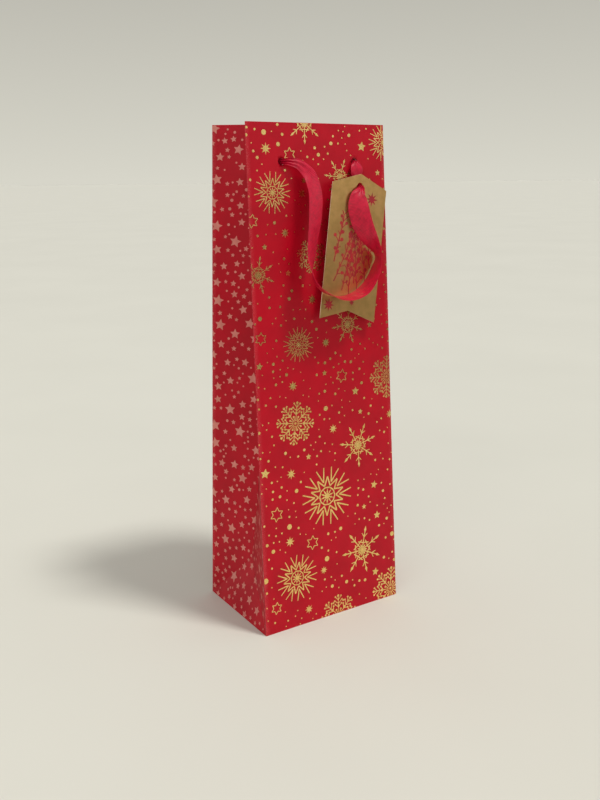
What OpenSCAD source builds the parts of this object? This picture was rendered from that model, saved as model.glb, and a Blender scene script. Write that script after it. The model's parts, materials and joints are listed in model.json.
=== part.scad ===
// Gift bag for one wine bottle: a folded paper bag with a block bottom, two ribbon handles and a gift tag.
// Millimetres, +Z up. The origin is the middle of the base, the front panel faces -Y.
// The front and back panels lean towards each other, and the two side gussets are folded inwards.

/* [Bag] */
// Width of the front and back panels
bag_w = 117; // [97.5:0.5:141]
// Depth of the base, from the front panel to the back panel
bag_d = 84; // [74:1:100]
// Height of the front and back panels, measured along the paper
panel_h = 360; // [300:1:432]
// Depth of the mouth, from the front panel to the back panel
mouth_d = 48; // [40:1:58]
// Thickness of the coated paper
paper_t = 0.4; // [0.3:0.02:0.5]

/* [Top edge] */
// How far the paper is turned over inside the mouth
hem_drop = 38; // [36:1:48]
// Height of the reinforcing cards inside the turned-over edge
card_drop = 35; // [33:1:36]
// Thickness of the reinforcing cards
card_t = 0.8; // [0.5:0.1:1]
// Distance from the side folds to the reinforcing cards and their hems
card_inset = 6; // [6:0.5:10]

/* [Base] */
// Thickness of the loose base card
base_card_t = 1.2; // [0.8:0.1:2]
// Gap between the base card and the walls
base_card_gap = 2; // [1.5:0.5:4]
// How far each glued bottom flap reaches past the middle of the base
flap_reach = 12; // [8:1:20]
// Length of the two side tucks under the base card
tuck_len = 30; // [20:1:36]
// Width of the glue flap on the side seam
seam_w = 16; // [12:1:20]

/* [Handles] */
// Distance between the two handle holes of a panel
hole_spacing = 62; // [52:0.2:76]
// Distance from the top edge to the handle holes
hole_drop = 27; // [24:1:29]
// Diameter of the handle holes
hole_dia = 5; // [4.5:0.25:7]
// Width of the ribbon
ribbon_w = 15; // [12:0.5:16]
// Thickness of the ribbon
ribbon_t = 0.8; // [0.6:0.1:0.9]
// Diameter of the knots behind the handle holes
knot_dia = 10; // [9:0.5:11]
// Thickness of the knots
knot_t = 6; // [4:0.5:8]

/* [Gift tag] */
// Width of the tag
tag_w = 48; // [38:1:58]
// Length of the tag's straight sides
tag_side = 97; // [70:1:125]
// Height of the pointed top
tag_peak = 9; // [6:1:14]
// Depth of the notch in the bottom edge
tag_notch = 7; // [4:1:12]
// Thickness of the tag card
tag_t = 0.6; // [0.4:0.1:0.7]
// Distance from the pointed top to the middle of the tag's hole
tag_hole_drop = 9; // [8:1:14]
// Diameter of the tag's hole
tag_hole_dia = 5; // [4.5:0.25:6]
// How far the tag hangs to one side at rest, in degrees
tag_tilt = 8; // [0:1:12]

/* [Hidden] */

PAPER_RED = "firebrick";
PAPER_WHITE = "whitesmoke";
CARD_GREY = "gainsboro";
RIBBON_RED = "crimson";
FOIL_GOLD = "darkgoldenrod";

// Lean of the front and back panels from upright, in degrees
lean = asin((bag_d - mouth_d) / 2 / panel_h);
// Height of the mouth above the base
top_z = panel_h * cos(lean);
// Inward slope of the panels: how far they lean in for each unit of height
slope = tan(lean);
// Thickness of the leaning paper measured along Y
paper_ty = paper_t / cos(lean);
// Gap left where one folded sheet ends beside another
fold_gap = 0.3;
// Thickness of the glue between a gusset and its turned-over edge
glue_t = 0.1;
// Number of rows that follow the curved crease of a gusset
crease_rows = 12;
// Depth of the card and the turned-over paper behind a panel's outer face
hem_stack = 2 * paper_t + card_t;
// Height of the three folded sheets under the base card
base_stack = 3 * paper_t;
// Height of the hole line along a panel
hole_v = panel_h - hole_drop;

// Half the distance between the front and back panels at a height z
function half_depth(z) = bag_d / 2 - slope * z;
// How far the middle crease of a gusset stands in at a height z: the paper of each half keeps its width
function crease_in(z) = sqrt(pow(bag_d / 2, 2) - pow(half_depth(z), 2));
// Width along X that the paper of a gusset half takes at a height z, times n sheets
function gusset_tx(z, n = 1) = n * paper_t * (bag_d / 2) / half_depth(z);
// Height at which the base triangle of a gusset meets the middle crease
apex_z = (bag_d / 2) / (1 + slope);

// Puts children on a panel: X across it, Y up along it, Z out of its face. turn is 0 for the front, 180 for the back
module on_panel(turn) {
    rotate([0, 0, turn])
        translate([0, -bag_d / 2, 0])
            rotate([90 - lean, 0, 0])
                children();
}

// A flat sheet on a panel, from bottom v0 to top v1, its outer face at depth in, with the handle holes punched
module sheet_on_panel(turn, width, v0, v1, in, thick) {
    on_panel(turn)
        translate([0, 0, -in - thick])
            linear_extrude(thick)
                difference() {
                    translate([-width / 2, v0])
                        square([width, v1 - v0]);
                    for (side = [-1, 1])
                        translate([side * hole_spacing / 2, hole_v])
                            circle(d = hole_dia, $fn = 48);
                }
}

module front_panel() {
    color(PAPER_RED)
        sheet_on_panel(0, bag_w, paper_t * slope, panel_h, 0, paper_t);
}

module back_panel() {
    color(PAPER_RED)
        sheet_on_panel(180, bag_w, paper_t * slope, panel_h, 0, paper_t);
}

// The four plan corners of a gusset half on one ruling, from the panel edge at height ze to the crease at height zc.
// first and last count the sheets of paper outside and inside of it
function half_ruling(ze, zc, first, last, edge_share = 0) =
    let (
        ye = half_depth(ze) - paper_ty,
        xe = paper_ty * crease_in(ze) / half_depth(ze),
        edge = [-bag_w / 2 + xe, -ye, ze],
        crease = [-bag_w / 2 + crease_in(zc), 0, zc],
        start = edge + edge_share * (crease - edge)
    )
    [
        start + [gusset_tx(ze, first), 0, 0],
        start + [gusset_tx(ze, last), 0, 0],
        crease + [gusset_tx(zc, last), 0, 0],
        crease + [gusset_tx(zc, first), 0, 0]
    ];

// Two triangles across a wall's quad, from corner a to b and on to the next ring, split one way or the other.
// Opposite walls of a thin sheet are split the same way, so that a twist keeps the sheet's thickness
function wall_pair(a, b, step, other_way) = other_way
    ? [[a, a + step, b + step], [a, b + step, b]]
    : [[a, a + step, b], [b, a + step, b + step]];

// Triangles around a loft of four-sided rings
function loft_faces(rows) = concat(
    [[0, 1, 2], [0, 2, 3]],
    [for (i = [0 : rows - 1], k = [0 : 3])
        each wall_pair(4 * i + k, 4 * i + (k + 1) % 4, 4, k >= 2)],
    let (e = 4 * rows)
    [[e, e + 2, e + 1], [e, e + 3, e + 2]]
);

// The front half of the left gusset
module gusset_half() {
    points = [for (i = [0 : crease_rows])
        let (u = i / crease_rows)
        each half_ruling(top_z * u, apex_z + (top_z - apex_z) * u, 0, 1)];
    polyhedron(points, loft_faces(crease_rows), convexity = 4);
}

// The triangle between the base and the two halves of the left gusset
module gusset_triangle() {
    front = half_ruling(0, apex_z, 0, 1);
    rear = [for (p = front) [p[0], -p[1], p[2]]];
    points = [front[0], front[1], front[2], front[3], rear[0], rear[1]];
    faces = [
        [0, 2, 1], [0, 3, 2],
        [4, 5, 2], [4, 2, 3],
        [0, 4, 3], [1, 2, 5],
        [0, 1, 5], [0, 5, 4]
    ];
    polyhedron(points, faces, convexity = 4);
}

// The turned-over paper inside the front half of the left gusset
module gusset_half_hem() {
    rows = 4;
    z0 = top_z - hem_drop * cos(lean);
    edge_share = card_inset / (bag_d / 2);
    glue_share = glue_t / paper_t;
    points = [for (i = [0 : rows])
        let (z = z0 + (top_z - z0) * i / rows)
        each half_ruling(z, z, 1 + glue_share, 2 + glue_share, edge_share)];
    polyhedron(points, loft_faces(rows), convexity = 4);
}

module left_gusset_front_half() {
    color(PAPER_RED)
        gusset_half();
}

module left_gusset_rear_half() {
    color(PAPER_RED)
        mirror([0, 1, 0])
            gusset_half();
}

module left_gusset_base_triangle() {
    color(PAPER_RED)
        gusset_triangle();
}

module right_gusset_front_half() {
    color(PAPER_RED)
        mirror([1, 0, 0])
            gusset_half();
}

module right_gusset_rear_half() {
    color(PAPER_RED)
        mirror([1, 0, 0])
            mirror([0, 1, 0])
                gusset_half();
}

module right_gusset_base_triangle() {
    color(PAPER_RED)
        mirror([1, 0, 0])
            gusset_triangle();
}

module left_gusset_hem() {
    color(PAPER_RED) {
        gusset_half_hem();
        mirror([0, 1, 0])
            gusset_half_hem();
    }
}

module right_gusset_hem() {
    color(PAPER_RED)
        mirror([1, 0, 0]) {
            gusset_half_hem();
            mirror([0, 1, 0])
                gusset_half_hem();
        }
}

// The strip that joins the right gusset to the back panel, glued inside the back panel
module side_seam_flap() {
    seam_start = bag_w / 2 - 3;
    color(PAPER_WHITE)
        on_panel(180)
            translate([-seam_start, base_stack + 3, -2 * paper_t])
                cube([seam_w, panel_h - hem_drop - base_stack - 6, paper_t]);
}

// A sheet in the base, one layer of paper thick
module base_sheet(layer, y0, y1) {
    half_w = bag_w / 2 - paper_t - fold_gap;
    translate([-half_w, y0, layer * paper_t])
        cube([2 * half_w, y1 - y0, paper_t]);
}

module base_outer_flap() {
    color(PAPER_RED)
        base_sheet(0, -flap_reach, bag_d / 2 - paper_ty - fold_gap);
}

module base_inner_flap() {
    color(PAPER_RED)
        base_sheet(1, -bag_d / 2 + paper_ty + fold_gap, flap_reach);
}

// The tuck folded in from the left gusset, narrowing at 45 degrees
module base_tuck() {
    x0 = -bag_w / 2 + paper_t + 2 * fold_gap;
    half_w = bag_d / 2 - paper_ty - 2 * fold_gap;
    translate([0, 0, 2 * paper_t])
        linear_extrude(paper_t)
            polygon([[x0, -half_w], [x0 + tuck_len, -half_w + tuck_len],
                [x0 + tuck_len, half_w - tuck_len], [x0, half_w]]);
}

module left_base_tuck() {
    color(PAPER_WHITE)
        base_tuck();
}

module right_base_tuck() {
    color(PAPER_WHITE)
        mirror([1, 0, 0])
            base_tuck();
}

module base_card() {
    card_w = bag_w - 2 * (paper_t + base_card_gap);
    card_d = bag_d - 2 * (paper_ty + base_card_gap);
    color(CARD_GREY)
        translate([-card_w / 2, -card_d / 2, base_stack])
            cube([card_w, card_d, base_card_t]);
}

// The paper turned over the top edge of a panel and down behind the reinforcing card
module hem(turn) {
    width = bag_w - 2 * card_inset;
    sheet_on_panel(turn, width, panel_h - hem_drop, panel_h - paper_t, paper_t + card_t, paper_t);
    on_panel(turn)
        translate([-width / 2, panel_h - paper_t, -hem_stack])
            cube([width, paper_t, hem_stack - paper_t]);
}

module front_hem() {
    color(PAPER_RED)
        hem(0);
}

module back_hem() {
    color(PAPER_RED)
        hem(180);
}

module reinforcing_card(turn) {
    width = bag_w - 2 * card_inset;
    sheet_on_panel(turn, width, panel_h - card_drop, panel_h - paper_t, paper_t, card_t);
}

module front_reinforcing_card() {
    color(CARD_GREY)
        reinforcing_card(0);
}

module back_reinforcing_card() {
    color(CARD_GREY)
        reinforcing_card(180);
}

// A flattened overhand knot inside the bag, bearing on the hem round one handle hole, with its cut tail below
module knot(turn, side) {
    bulge = knot_t / 3;
    tail_len = 22;
    color(RIBBON_RED)
        on_panel(turn)
            translate([side * hole_spacing / 2, hole_v, -hem_stack]) {
                rotate([180, 0, 0])
                    rotate_extrude($fn = 32)
                        polygon([[0, 0], [knot_dia * 0.38, 0], [knot_dia / 2, bulge],
                            [knot_dia * 0.46, knot_t - bulge], [knot_dia * 0.3, knot_t], [0, knot_t]]);
                translate([-ribbon_w / 3, -knot_dia / 3 - tail_len, -knot_t / 2])
                    cube([ribbon_w * 2 / 3, tail_len, ribbon_t]);
            }
}

module front_left_knot() {
    knot(0, -1);
}

module front_right_knot() {
    knot(0, 1);
}

module back_left_knot() {
    knot(180, 1);
}

module back_right_knot() {
    knot(180, -1);
}

// Distance from the front panel to the back of the tag
tag_out = 6.5;
// Place of the tag's hole, as X and the distance below the hole line
tag_hang_x = 31.5;
tag_hang_drop = 18;
// Hole spacing that the ribbon's routes were laid out for
route_spacing = 62;

// Ribbon routes. Each row is X, distance below the hole line, distance out from the panel,
// then the direction across the ribbon in the same three measures, its width and its thickness.
// In a hole the ribbon is bunched to bunch_w by bunch_t.
bunch_w = 3.4;
bunch_t = 2;

front_left_route = [
    [[-31, 0, -hem_stack], [0, 1, 0], bunch_w, bunch_t],
    [[-31, 0, 0.8], [0, 1, 0], bunch_w, bunch_t],
    [[-29.5, 0, 2.6], [0, 1, 0], 6, 1.4],
    [[-26, 0.5, 4.6], [-0.2, 1, 0], 8, 1],
    [[-21.5, 2, 6.2], [-0.5, 1, 0], 9, ribbon_t],
    [[-17, 5, 7], [-1, 0.8, 0], 11, ribbon_t],
    [[-13.5, 10, 7.6], [-1, 0.3, 0], 13, ribbon_t],
    [[-11.5, 15, 8.4], [-1, 0, 0], ribbon_w, ribbon_t],
    [[-11, 20.5, 9.6], [-1, 0, 0], ribbon_w, ribbon_t]
];

front_right_route = [
    [[31, 0, -hem_stack], [1, 0, 0], bunch_w, bunch_t],
    [[31, 0, 0.8], [1, 0, 0], bunch_w, bunch_t],
    [[31, 1, 2.2], [1, 0, 0], 7, 1.2],
    [[31.2, 4, 3.2], [1, 0, 0], 10, ribbon_t],
    [[31.3, 8, 3.4], [1, 0, 0], 10, ribbon_t],
    [[31.4, 12, 3.4], [1, 0, 0], 7, 1.2],
    [[31.5, 16, 3.6], [1, 0, 0], 4, 1.4],
    [[tag_hang_x, tag_hang_drop, 5.2], [1, 0, 0], bunch_w, bunch_t],
    [[tag_hang_x, tag_hang_drop, 8.3], [1, 0, 0], bunch_w, bunch_t],
    [[31.5, 20.5, 9.7], [1, 0, 0], 6, 1]
];

front_loop_route = [
    [[-11, 25.5, 11.2], [1, 0, 0], ribbon_w, ribbon_t],
    [[-11.5, 32, 12], [1, 0, 0], ribbon_w, ribbon_t],
    [[-12.5, 40, 13], [1, 0, -0.3], ribbon_w, ribbon_t],
    [[-14.5, 50, 14], [0.9, 0, -0.5], ribbon_w, ribbon_t],
    [[-17, 61, 15], [0.75, 0, -0.7], ribbon_w, ribbon_t],
    [[-19.5, 71, 15.5], [0.5, 0, -0.85], ribbon_w, ribbon_t],
    [[-20, 79, 15.5], [0.3, 0, -1], ribbon_w, ribbon_t],
    [[-17.5, 87, 15.5], [0.1, -0.1, -1], ribbon_w, ribbon_t],
    [[-11, 93.5, 15.5], [0, -0.15, -1], ribbon_w, ribbon_t],
    [[-3, 97.5, 15.8], [0, -0.15, -1], ribbon_w, ribbon_t],
    [[6, 99.5, 16], [0, -0.15, -1], ribbon_w, ribbon_t],
    [[15, 99, 16], [0, -0.15, -1], ribbon_w, ribbon_t],
    [[23, 96, 16], [0, -0.1, -1], ribbon_w, ribbon_t],
    [[30, 90.5, 16], [0, 0, -1], ribbon_w, ribbon_t],
    [[35, 84, 16], [0, 0, -1], ribbon_w, ribbon_t],
    [[38.5, 76.5, 16], [0.1, 0, -1], ribbon_w, ribbon_t],
    [[39.5, 70, 15.5], [-0.3, 0, -0.95], ribbon_w, ribbon_t],
    [[38.8, 63, 14.5], [-0.7, 0, -0.7], ribbon_w, ribbon_t],
    [[36.8, 55, 13.2], [-0.9, 0, -0.4], ribbon_w, ribbon_t],
    [[34.6, 46, 12.2], [-1, 0, -0.2], ribbon_w, ribbon_t],
    [[32.6, 37, 11.8], [-1, 0, 0], ribbon_w, ribbon_t],
    [[31.6, 30, 11.4], [-1, 0, 0], 12, ribbon_t],
    [[31.5, 25.5, 11.2], [-1, 0, 0], 8, ribbon_t]
];

back_left_route = [
    [[-31, 0, -hem_stack], [1, 0, 0], bunch_w, bunch_t],
    [[-31, 0, 0.8], [1, 0, 0], bunch_w, bunch_t],
    [[-31, 2, 3.2], [1, 0, 0], 7, 1.2],
    [[-30.7, 7, 5.6], [1, 0, 0], 11, ribbon_t],
    [[-30.3, 14, 7.8], [1, 0, 0], 14, ribbon_t],
    [[-30, 20.5, 9.6], [1, 0, 0], ribbon_w, ribbon_t]
];

back_half_loop_route = [
    [[-30, 25.5, 11.2], [1, 0, 0], ribbon_w, ribbon_t],
    [[-29.5, 35, 12.4], [1, 0, -0.1], ribbon_w, ribbon_t],
    [[-29, 46, 13.6], [1, 0, -0.4], ribbon_w, ribbon_t],
    [[-28.6, 57, 14.8], [0.8, 0, -0.6], ribbon_w, ribbon_t],
    [[-28.2, 68, 15.6], [0.6, 0, -0.8], ribbon_w, ribbon_t],
    [[-27.5, 79, 16.2], [0.4, 0, -1], ribbon_w, ribbon_t],
    [[-26, 90, 16.6], [0.2, 0, -1], ribbon_w, ribbon_t],
    [[-23, 100, 17], [0, 0, -1], ribbon_w, ribbon_t],
    [[-18, 109, 17.2], [0, 0, -1], ribbon_w, ribbon_t],
    [[-11, 115, 17.4], [0, 0, -1], ribbon_w, ribbon_t],
    [[-4, 117.5, 17.5], [0, 0, -1], ribbon_w, ribbon_t]
];

// The other half of a route that is the same on both sides
function mirrored_route(route) = [for (i = [len(route) - 1 : -1 : 0])
    let (r = route[i])
    [[-r[0][0], r[0][1], r[0][2]], [-r[1][0], r[1][1], r[1][2]], r[2], r[3]]];

back_loop_route = concat(back_half_loop_route, mirrored_route(back_half_loop_route));

function unit(v) = v / norm(v);
// A route's point on its panel: X is spread with the holes, Y is up the panel, Z is out of it
function route_point(r) = [r[0][0] * hole_spacing / route_spacing, hole_v - r[0][1], r[0][2]];
function route_across(r) = [r[1][0], -r[1][1], r[1][2]];

// Corners of the ribbon's flat cross-section, as shares of its width and thickness
RIBBON_SECTION = [
    [-0.5, -0.2], [-0.42, -0.5], [0.42, -0.5], [0.5, -0.2],
    [0.5, 0.2], [0.42, 0.5], [-0.42, 0.5], [-0.5, 0.2]
];

function ribbon_ring(points, rows, i) =
    let (
        last = len(points) - 1,
        along = unit(points[min(i + 1, last)] - points[max(i - 1, 0)]),
        flat = route_across(rows[i]),
        across = unit(flat - (flat * along) * along),
        normal = cross(along, across)
    )
    [for (c = RIBBON_SECTION)
        points[i] + across * c[0] * rows[i][2] + normal * c[1] * rows[i][3]];

// A ribbon swept along a route on a panel
module ribbon(turn, rows) {
    sides = len(RIBBON_SECTION);
    rings = len(rows);
    centres = [for (r = rows) route_point(r)];
    points = [for (i = [0 : rings - 1]) each ribbon_ring(centres, rows, i)];
    walls = [for (i = [0 : rings - 2], k = [0 : sides - 1])
        each wall_pair(sides * i + k, sides * i + (k + 1) % sides, sides, k >= sides / 2)];
    first_end = [for (k = [0 : sides - 1]) k];
    last_end = [for (k = [sides - 1 : -1 : 0]) sides * (rings - 1) + k];
    color(RIBBON_RED)
        on_panel(turn)
            polyhedron(points, concat(walls, [first_end, last_end]), convexity = 6);
}

module front_left_ribbon_leg() {
    ribbon(0, front_left_route);
}

module front_right_ribbon_leg() {
    ribbon(0, front_right_route);
}

module back_left_ribbon_leg() {
    ribbon(180, mirrored_route(back_left_route));
}

module back_right_ribbon_leg() {
    ribbon(180, back_left_route);
}

module front_ribbon_loop() {
    ribbon(0, front_loop_route);
}

module back_ribbon_loop() {
    ribbon(180, back_loop_route);
}

// The tag: a card with a pointed top and a notched bottom, hanging from its hole in front of the panel
module gift_tag() {
    hang_x = tag_hang_x * hole_spacing / route_spacing;
    shoulder = tag_hole_drop - tag_peak;
    bottom = shoulder - tag_side;
    color(FOIL_GOLD)
        on_panel(0)
            translate([hang_x, hole_v - tag_hang_drop, tag_out])
                rotate([0, 0, -tag_tilt])
                    linear_extrude(tag_t)
                        difference() {
                            polygon([[0, tag_hole_drop], [-tag_w / 2, shoulder], [-tag_w / 2, bottom],
                                [0, bottom + tag_notch], [tag_w / 2, bottom], [tag_w / 2, shoulder]]);
                            circle(d = tag_hole_dia, $fn = 48);
                        }
}

front_panel();
back_panel();
left_gusset_front_half();
left_gusset_rear_half();
left_gusset_base_triangle();
right_gusset_front_half();
right_gusset_rear_half();
right_gusset_base_triangle();
side_seam_flap();
base_outer_flap();
base_inner_flap();
left_base_tuck();
right_base_tuck();
base_card();
front_hem();
back_hem();
left_gusset_hem();
right_gusset_hem();
front_reinforcing_card();
back_reinforcing_card();
front_left_knot();
front_right_knot();
back_left_knot();
back_right_knot();
front_left_ribbon_leg();
front_right_ribbon_leg();
back_left_ribbon_leg();
back_right_ribbon_leg();
front_ribbon_loop();
back_ribbon_loop();
gift_tag();
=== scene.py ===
"""The looks of a gift bag for one wine bottle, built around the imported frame.

Metres, +Z up, front towards -Y.
"""

import json
import logging
import math
import random
from collections.abc import Callable, Iterable, Sequence
from dataclasses import dataclass, field
from enum import Enum

import bpy
import numpy as np
from mathutils import Matrix, Vector


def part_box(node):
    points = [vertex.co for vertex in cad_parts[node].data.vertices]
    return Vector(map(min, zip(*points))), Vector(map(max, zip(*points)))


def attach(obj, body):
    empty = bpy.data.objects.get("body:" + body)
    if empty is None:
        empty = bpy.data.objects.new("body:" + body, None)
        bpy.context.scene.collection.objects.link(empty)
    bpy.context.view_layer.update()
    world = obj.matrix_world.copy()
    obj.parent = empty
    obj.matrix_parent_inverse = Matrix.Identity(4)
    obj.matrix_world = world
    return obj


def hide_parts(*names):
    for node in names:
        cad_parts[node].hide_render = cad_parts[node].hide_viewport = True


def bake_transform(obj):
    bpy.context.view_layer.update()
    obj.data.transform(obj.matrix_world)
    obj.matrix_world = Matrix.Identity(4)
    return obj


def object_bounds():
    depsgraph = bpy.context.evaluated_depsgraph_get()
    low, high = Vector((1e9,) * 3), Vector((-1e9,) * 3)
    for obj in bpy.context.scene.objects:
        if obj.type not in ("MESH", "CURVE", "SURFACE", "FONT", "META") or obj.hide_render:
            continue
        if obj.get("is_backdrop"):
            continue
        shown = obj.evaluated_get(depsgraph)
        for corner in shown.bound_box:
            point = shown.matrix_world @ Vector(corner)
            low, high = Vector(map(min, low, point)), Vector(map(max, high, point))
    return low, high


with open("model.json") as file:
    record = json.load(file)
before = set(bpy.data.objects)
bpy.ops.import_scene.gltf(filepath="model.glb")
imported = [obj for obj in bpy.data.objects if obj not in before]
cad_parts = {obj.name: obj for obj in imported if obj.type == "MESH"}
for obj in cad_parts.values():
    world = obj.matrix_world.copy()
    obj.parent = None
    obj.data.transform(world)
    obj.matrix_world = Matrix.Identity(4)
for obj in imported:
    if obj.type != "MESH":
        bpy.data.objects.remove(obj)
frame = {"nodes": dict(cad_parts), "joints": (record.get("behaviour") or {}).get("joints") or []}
CAD_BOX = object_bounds()

log = logging.getLogger("gift_bag")
MM = 0.001
NEAR = 1e-7

Point2 = tuple[float, float]
Colour = tuple[float, float, float]


def srgb(red: int, green: int, blue: int) -> Colour:
    """A screen colour of 0 to 255 a channel as linear light.

    Args:
        red: Red channel.
        green: Green channel.
        blue: Blue channel.

    Returns:
        The three linear channels.
    """
    shares = (channel / 255 for channel in (red, green, blue))
    return tuple(s / 12.92 if s <= 0.04045 else ((s + 0.055) / 1.055) ** 2.4 for s in shares)


def smooth(share: float) -> float:
    """An eased share, flat at 0 and at 1."""
    share = min(1.0, max(0.0, share))
    return share * share * (3 - 2 * share)


# --- Mesh drafting ---


@dataclass
class Draft:
    """Points and faces of a mesh while it is being built."""

    points: list[Vector] = field(default_factory=list)
    faces: list[tuple[int, ...]] = field(default_factory=list)
    paints: list[int] = field(default_factory=list)

    def add_points(self, points: Iterable[Vector]) -> list[int]:
        """Adds points.

        Args:
            points: The points to add.

        Returns:
            Their indices.
        """
        start = len(self.points)
        self.points.extend(points)
        return list(range(start, len(self.points)))

    def add_face(self, corners: Sequence[int], paint: int = 0) -> None:
        """Adds one face with the index of its material."""
        self.faces.append(tuple(corners))
        self.paints.append(paint)

    def add_prism(self, upper: Sequence[Vector], lower: Sequence[Vector]) -> None:
        """Adds a closed flat solid between two outlines with the same number of points.

        Args:
            upper: The outline on the outer side, anticlockwise from outside.
            lower: The same outline on the inner side.
        """
        top = self.add_points(upper)
        bottom = self.add_points(lower)
        count = len(top)
        self.add_face(top)
        self.add_face(bottom[::-1])
        for i in range(count):
            j = (i + 1) % count
            self.add_face((top[i], bottom[i], bottom[j], top[j]))

    def add_tube(self, rings: Sequence[Sequence[Vector]], closed: bool = False) -> None:
        """Adds a closed skin over rings of points.

        Args:
            rings: Rings with the same number of points each.
            closed: True where the last ring joins the first, and False where both ends are capped.
        """
        rows = [self.add_points(ring) for ring in rings]
        sides = len(rows[0])
        pairs = list(zip(rows, rows[1:])) + ([(rows[-1], rows[0])] if closed else [])
        for near, far in pairs:
            for i in range(sides):
                j = (i + 1) % sides
                self.add_face((near[i], near[j], far[j], far[i]))
        if not closed:
            self.add_face(rows[0][::-1])
            self.add_face(rows[-1])

    def make(self, name: str, materials: Sequence[bpy.types.Material],
             sharp_deg: float = 30.0) -> bpy.types.Object:
        """Turns the draft into an object in the scene.

        Args:
            name: The piece's name.
            materials: Its materials, in the order of the faces' indices.
            sharp_deg: Edges that turn by more than this stay crisp.

        Returns:
            The new object.
        """
        mesh = bpy.data.meshes.new(name)
        mesh.from_pydata([tuple(p) for p in self.points], [], self.faces)
        for material in materials:
            mesh.materials.append(material)
        mesh.polygons.foreach_set("material_index", self.paints)
        mesh.polygons.foreach_set("use_smooth", [True] * len(self.faces))
        mesh.validate()
        mesh.update()
        mesh.set_sharp_from_angle(angle=math.radians(sharp_deg))
        piece = bpy.data.objects.new(name, mesh)
        bpy.context.scene.collection.objects.link(piece)
        return piece


def apply_modifiers(piece: bpy.types.Object) -> None:
    """Makes a piece's modifiers part of its mesh.

    Args:
        piece: The piece.
    """
    bpy.context.view_layer.update()
    evaluated = piece.evaluated_get(bpy.context.evaluated_depsgraph_get())
    mesh = bpy.data.meshes.new_from_object(evaluated)
    piece.modifiers.clear()
    piece.data = mesh


def punch(piece: bpy.types.Object, centres: Sequence[Vector], axis: Vector, diameter: float,
          depth: float) -> None:
    """Punches round holes through a piece.

    Args:
        piece: The sheet to punch.
        centres: The middle of each hole.
        axis: The direction of the holes.
        diameter: The holes' diameter.
        depth: Length of the punch, half of it on either side of the centre.
    """
    sides = 32
    radius = diameter / 2
    draft = Draft()
    turn = axis.to_track_quat("Z", "Y").to_matrix()
    for centre in centres:
        rings = []
        for end in (-depth / 2, depth / 2):
            around = (2 * math.pi * i / sides for i in range(sides))
            rings.append([centre + turn @ Vector((math.cos(a) * radius, math.sin(a) * radius, end))
                          for a in around])
        draft.add_tube(rings)
    punch_tool = draft.make("hole_punch", list(piece.data.materials)[:1])
    modifier = piece.modifiers.new("holes", "BOOLEAN")
    modifier.object = punch_tool
    modifier.operation = "DIFFERENCE"
    modifier.solver = "EXACT"
    apply_modifiers(piece)
    bpy.data.objects.remove(punch_tool)


# --- The shape of the folded bag ---


class Wall(Enum):
    """The four sides of the bag."""

    FRONT = "front"
    BACK = "back"
    LEFT = "left"
    RIGHT = "right"


class Facet(Enum):
    """The flat areas between the folds of a side."""

    PANEL = "panel"
    FRONT_HALF = "front_half"
    REAR_HALF = "rear_half"
    TRIANGLE = "triangle"


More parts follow.
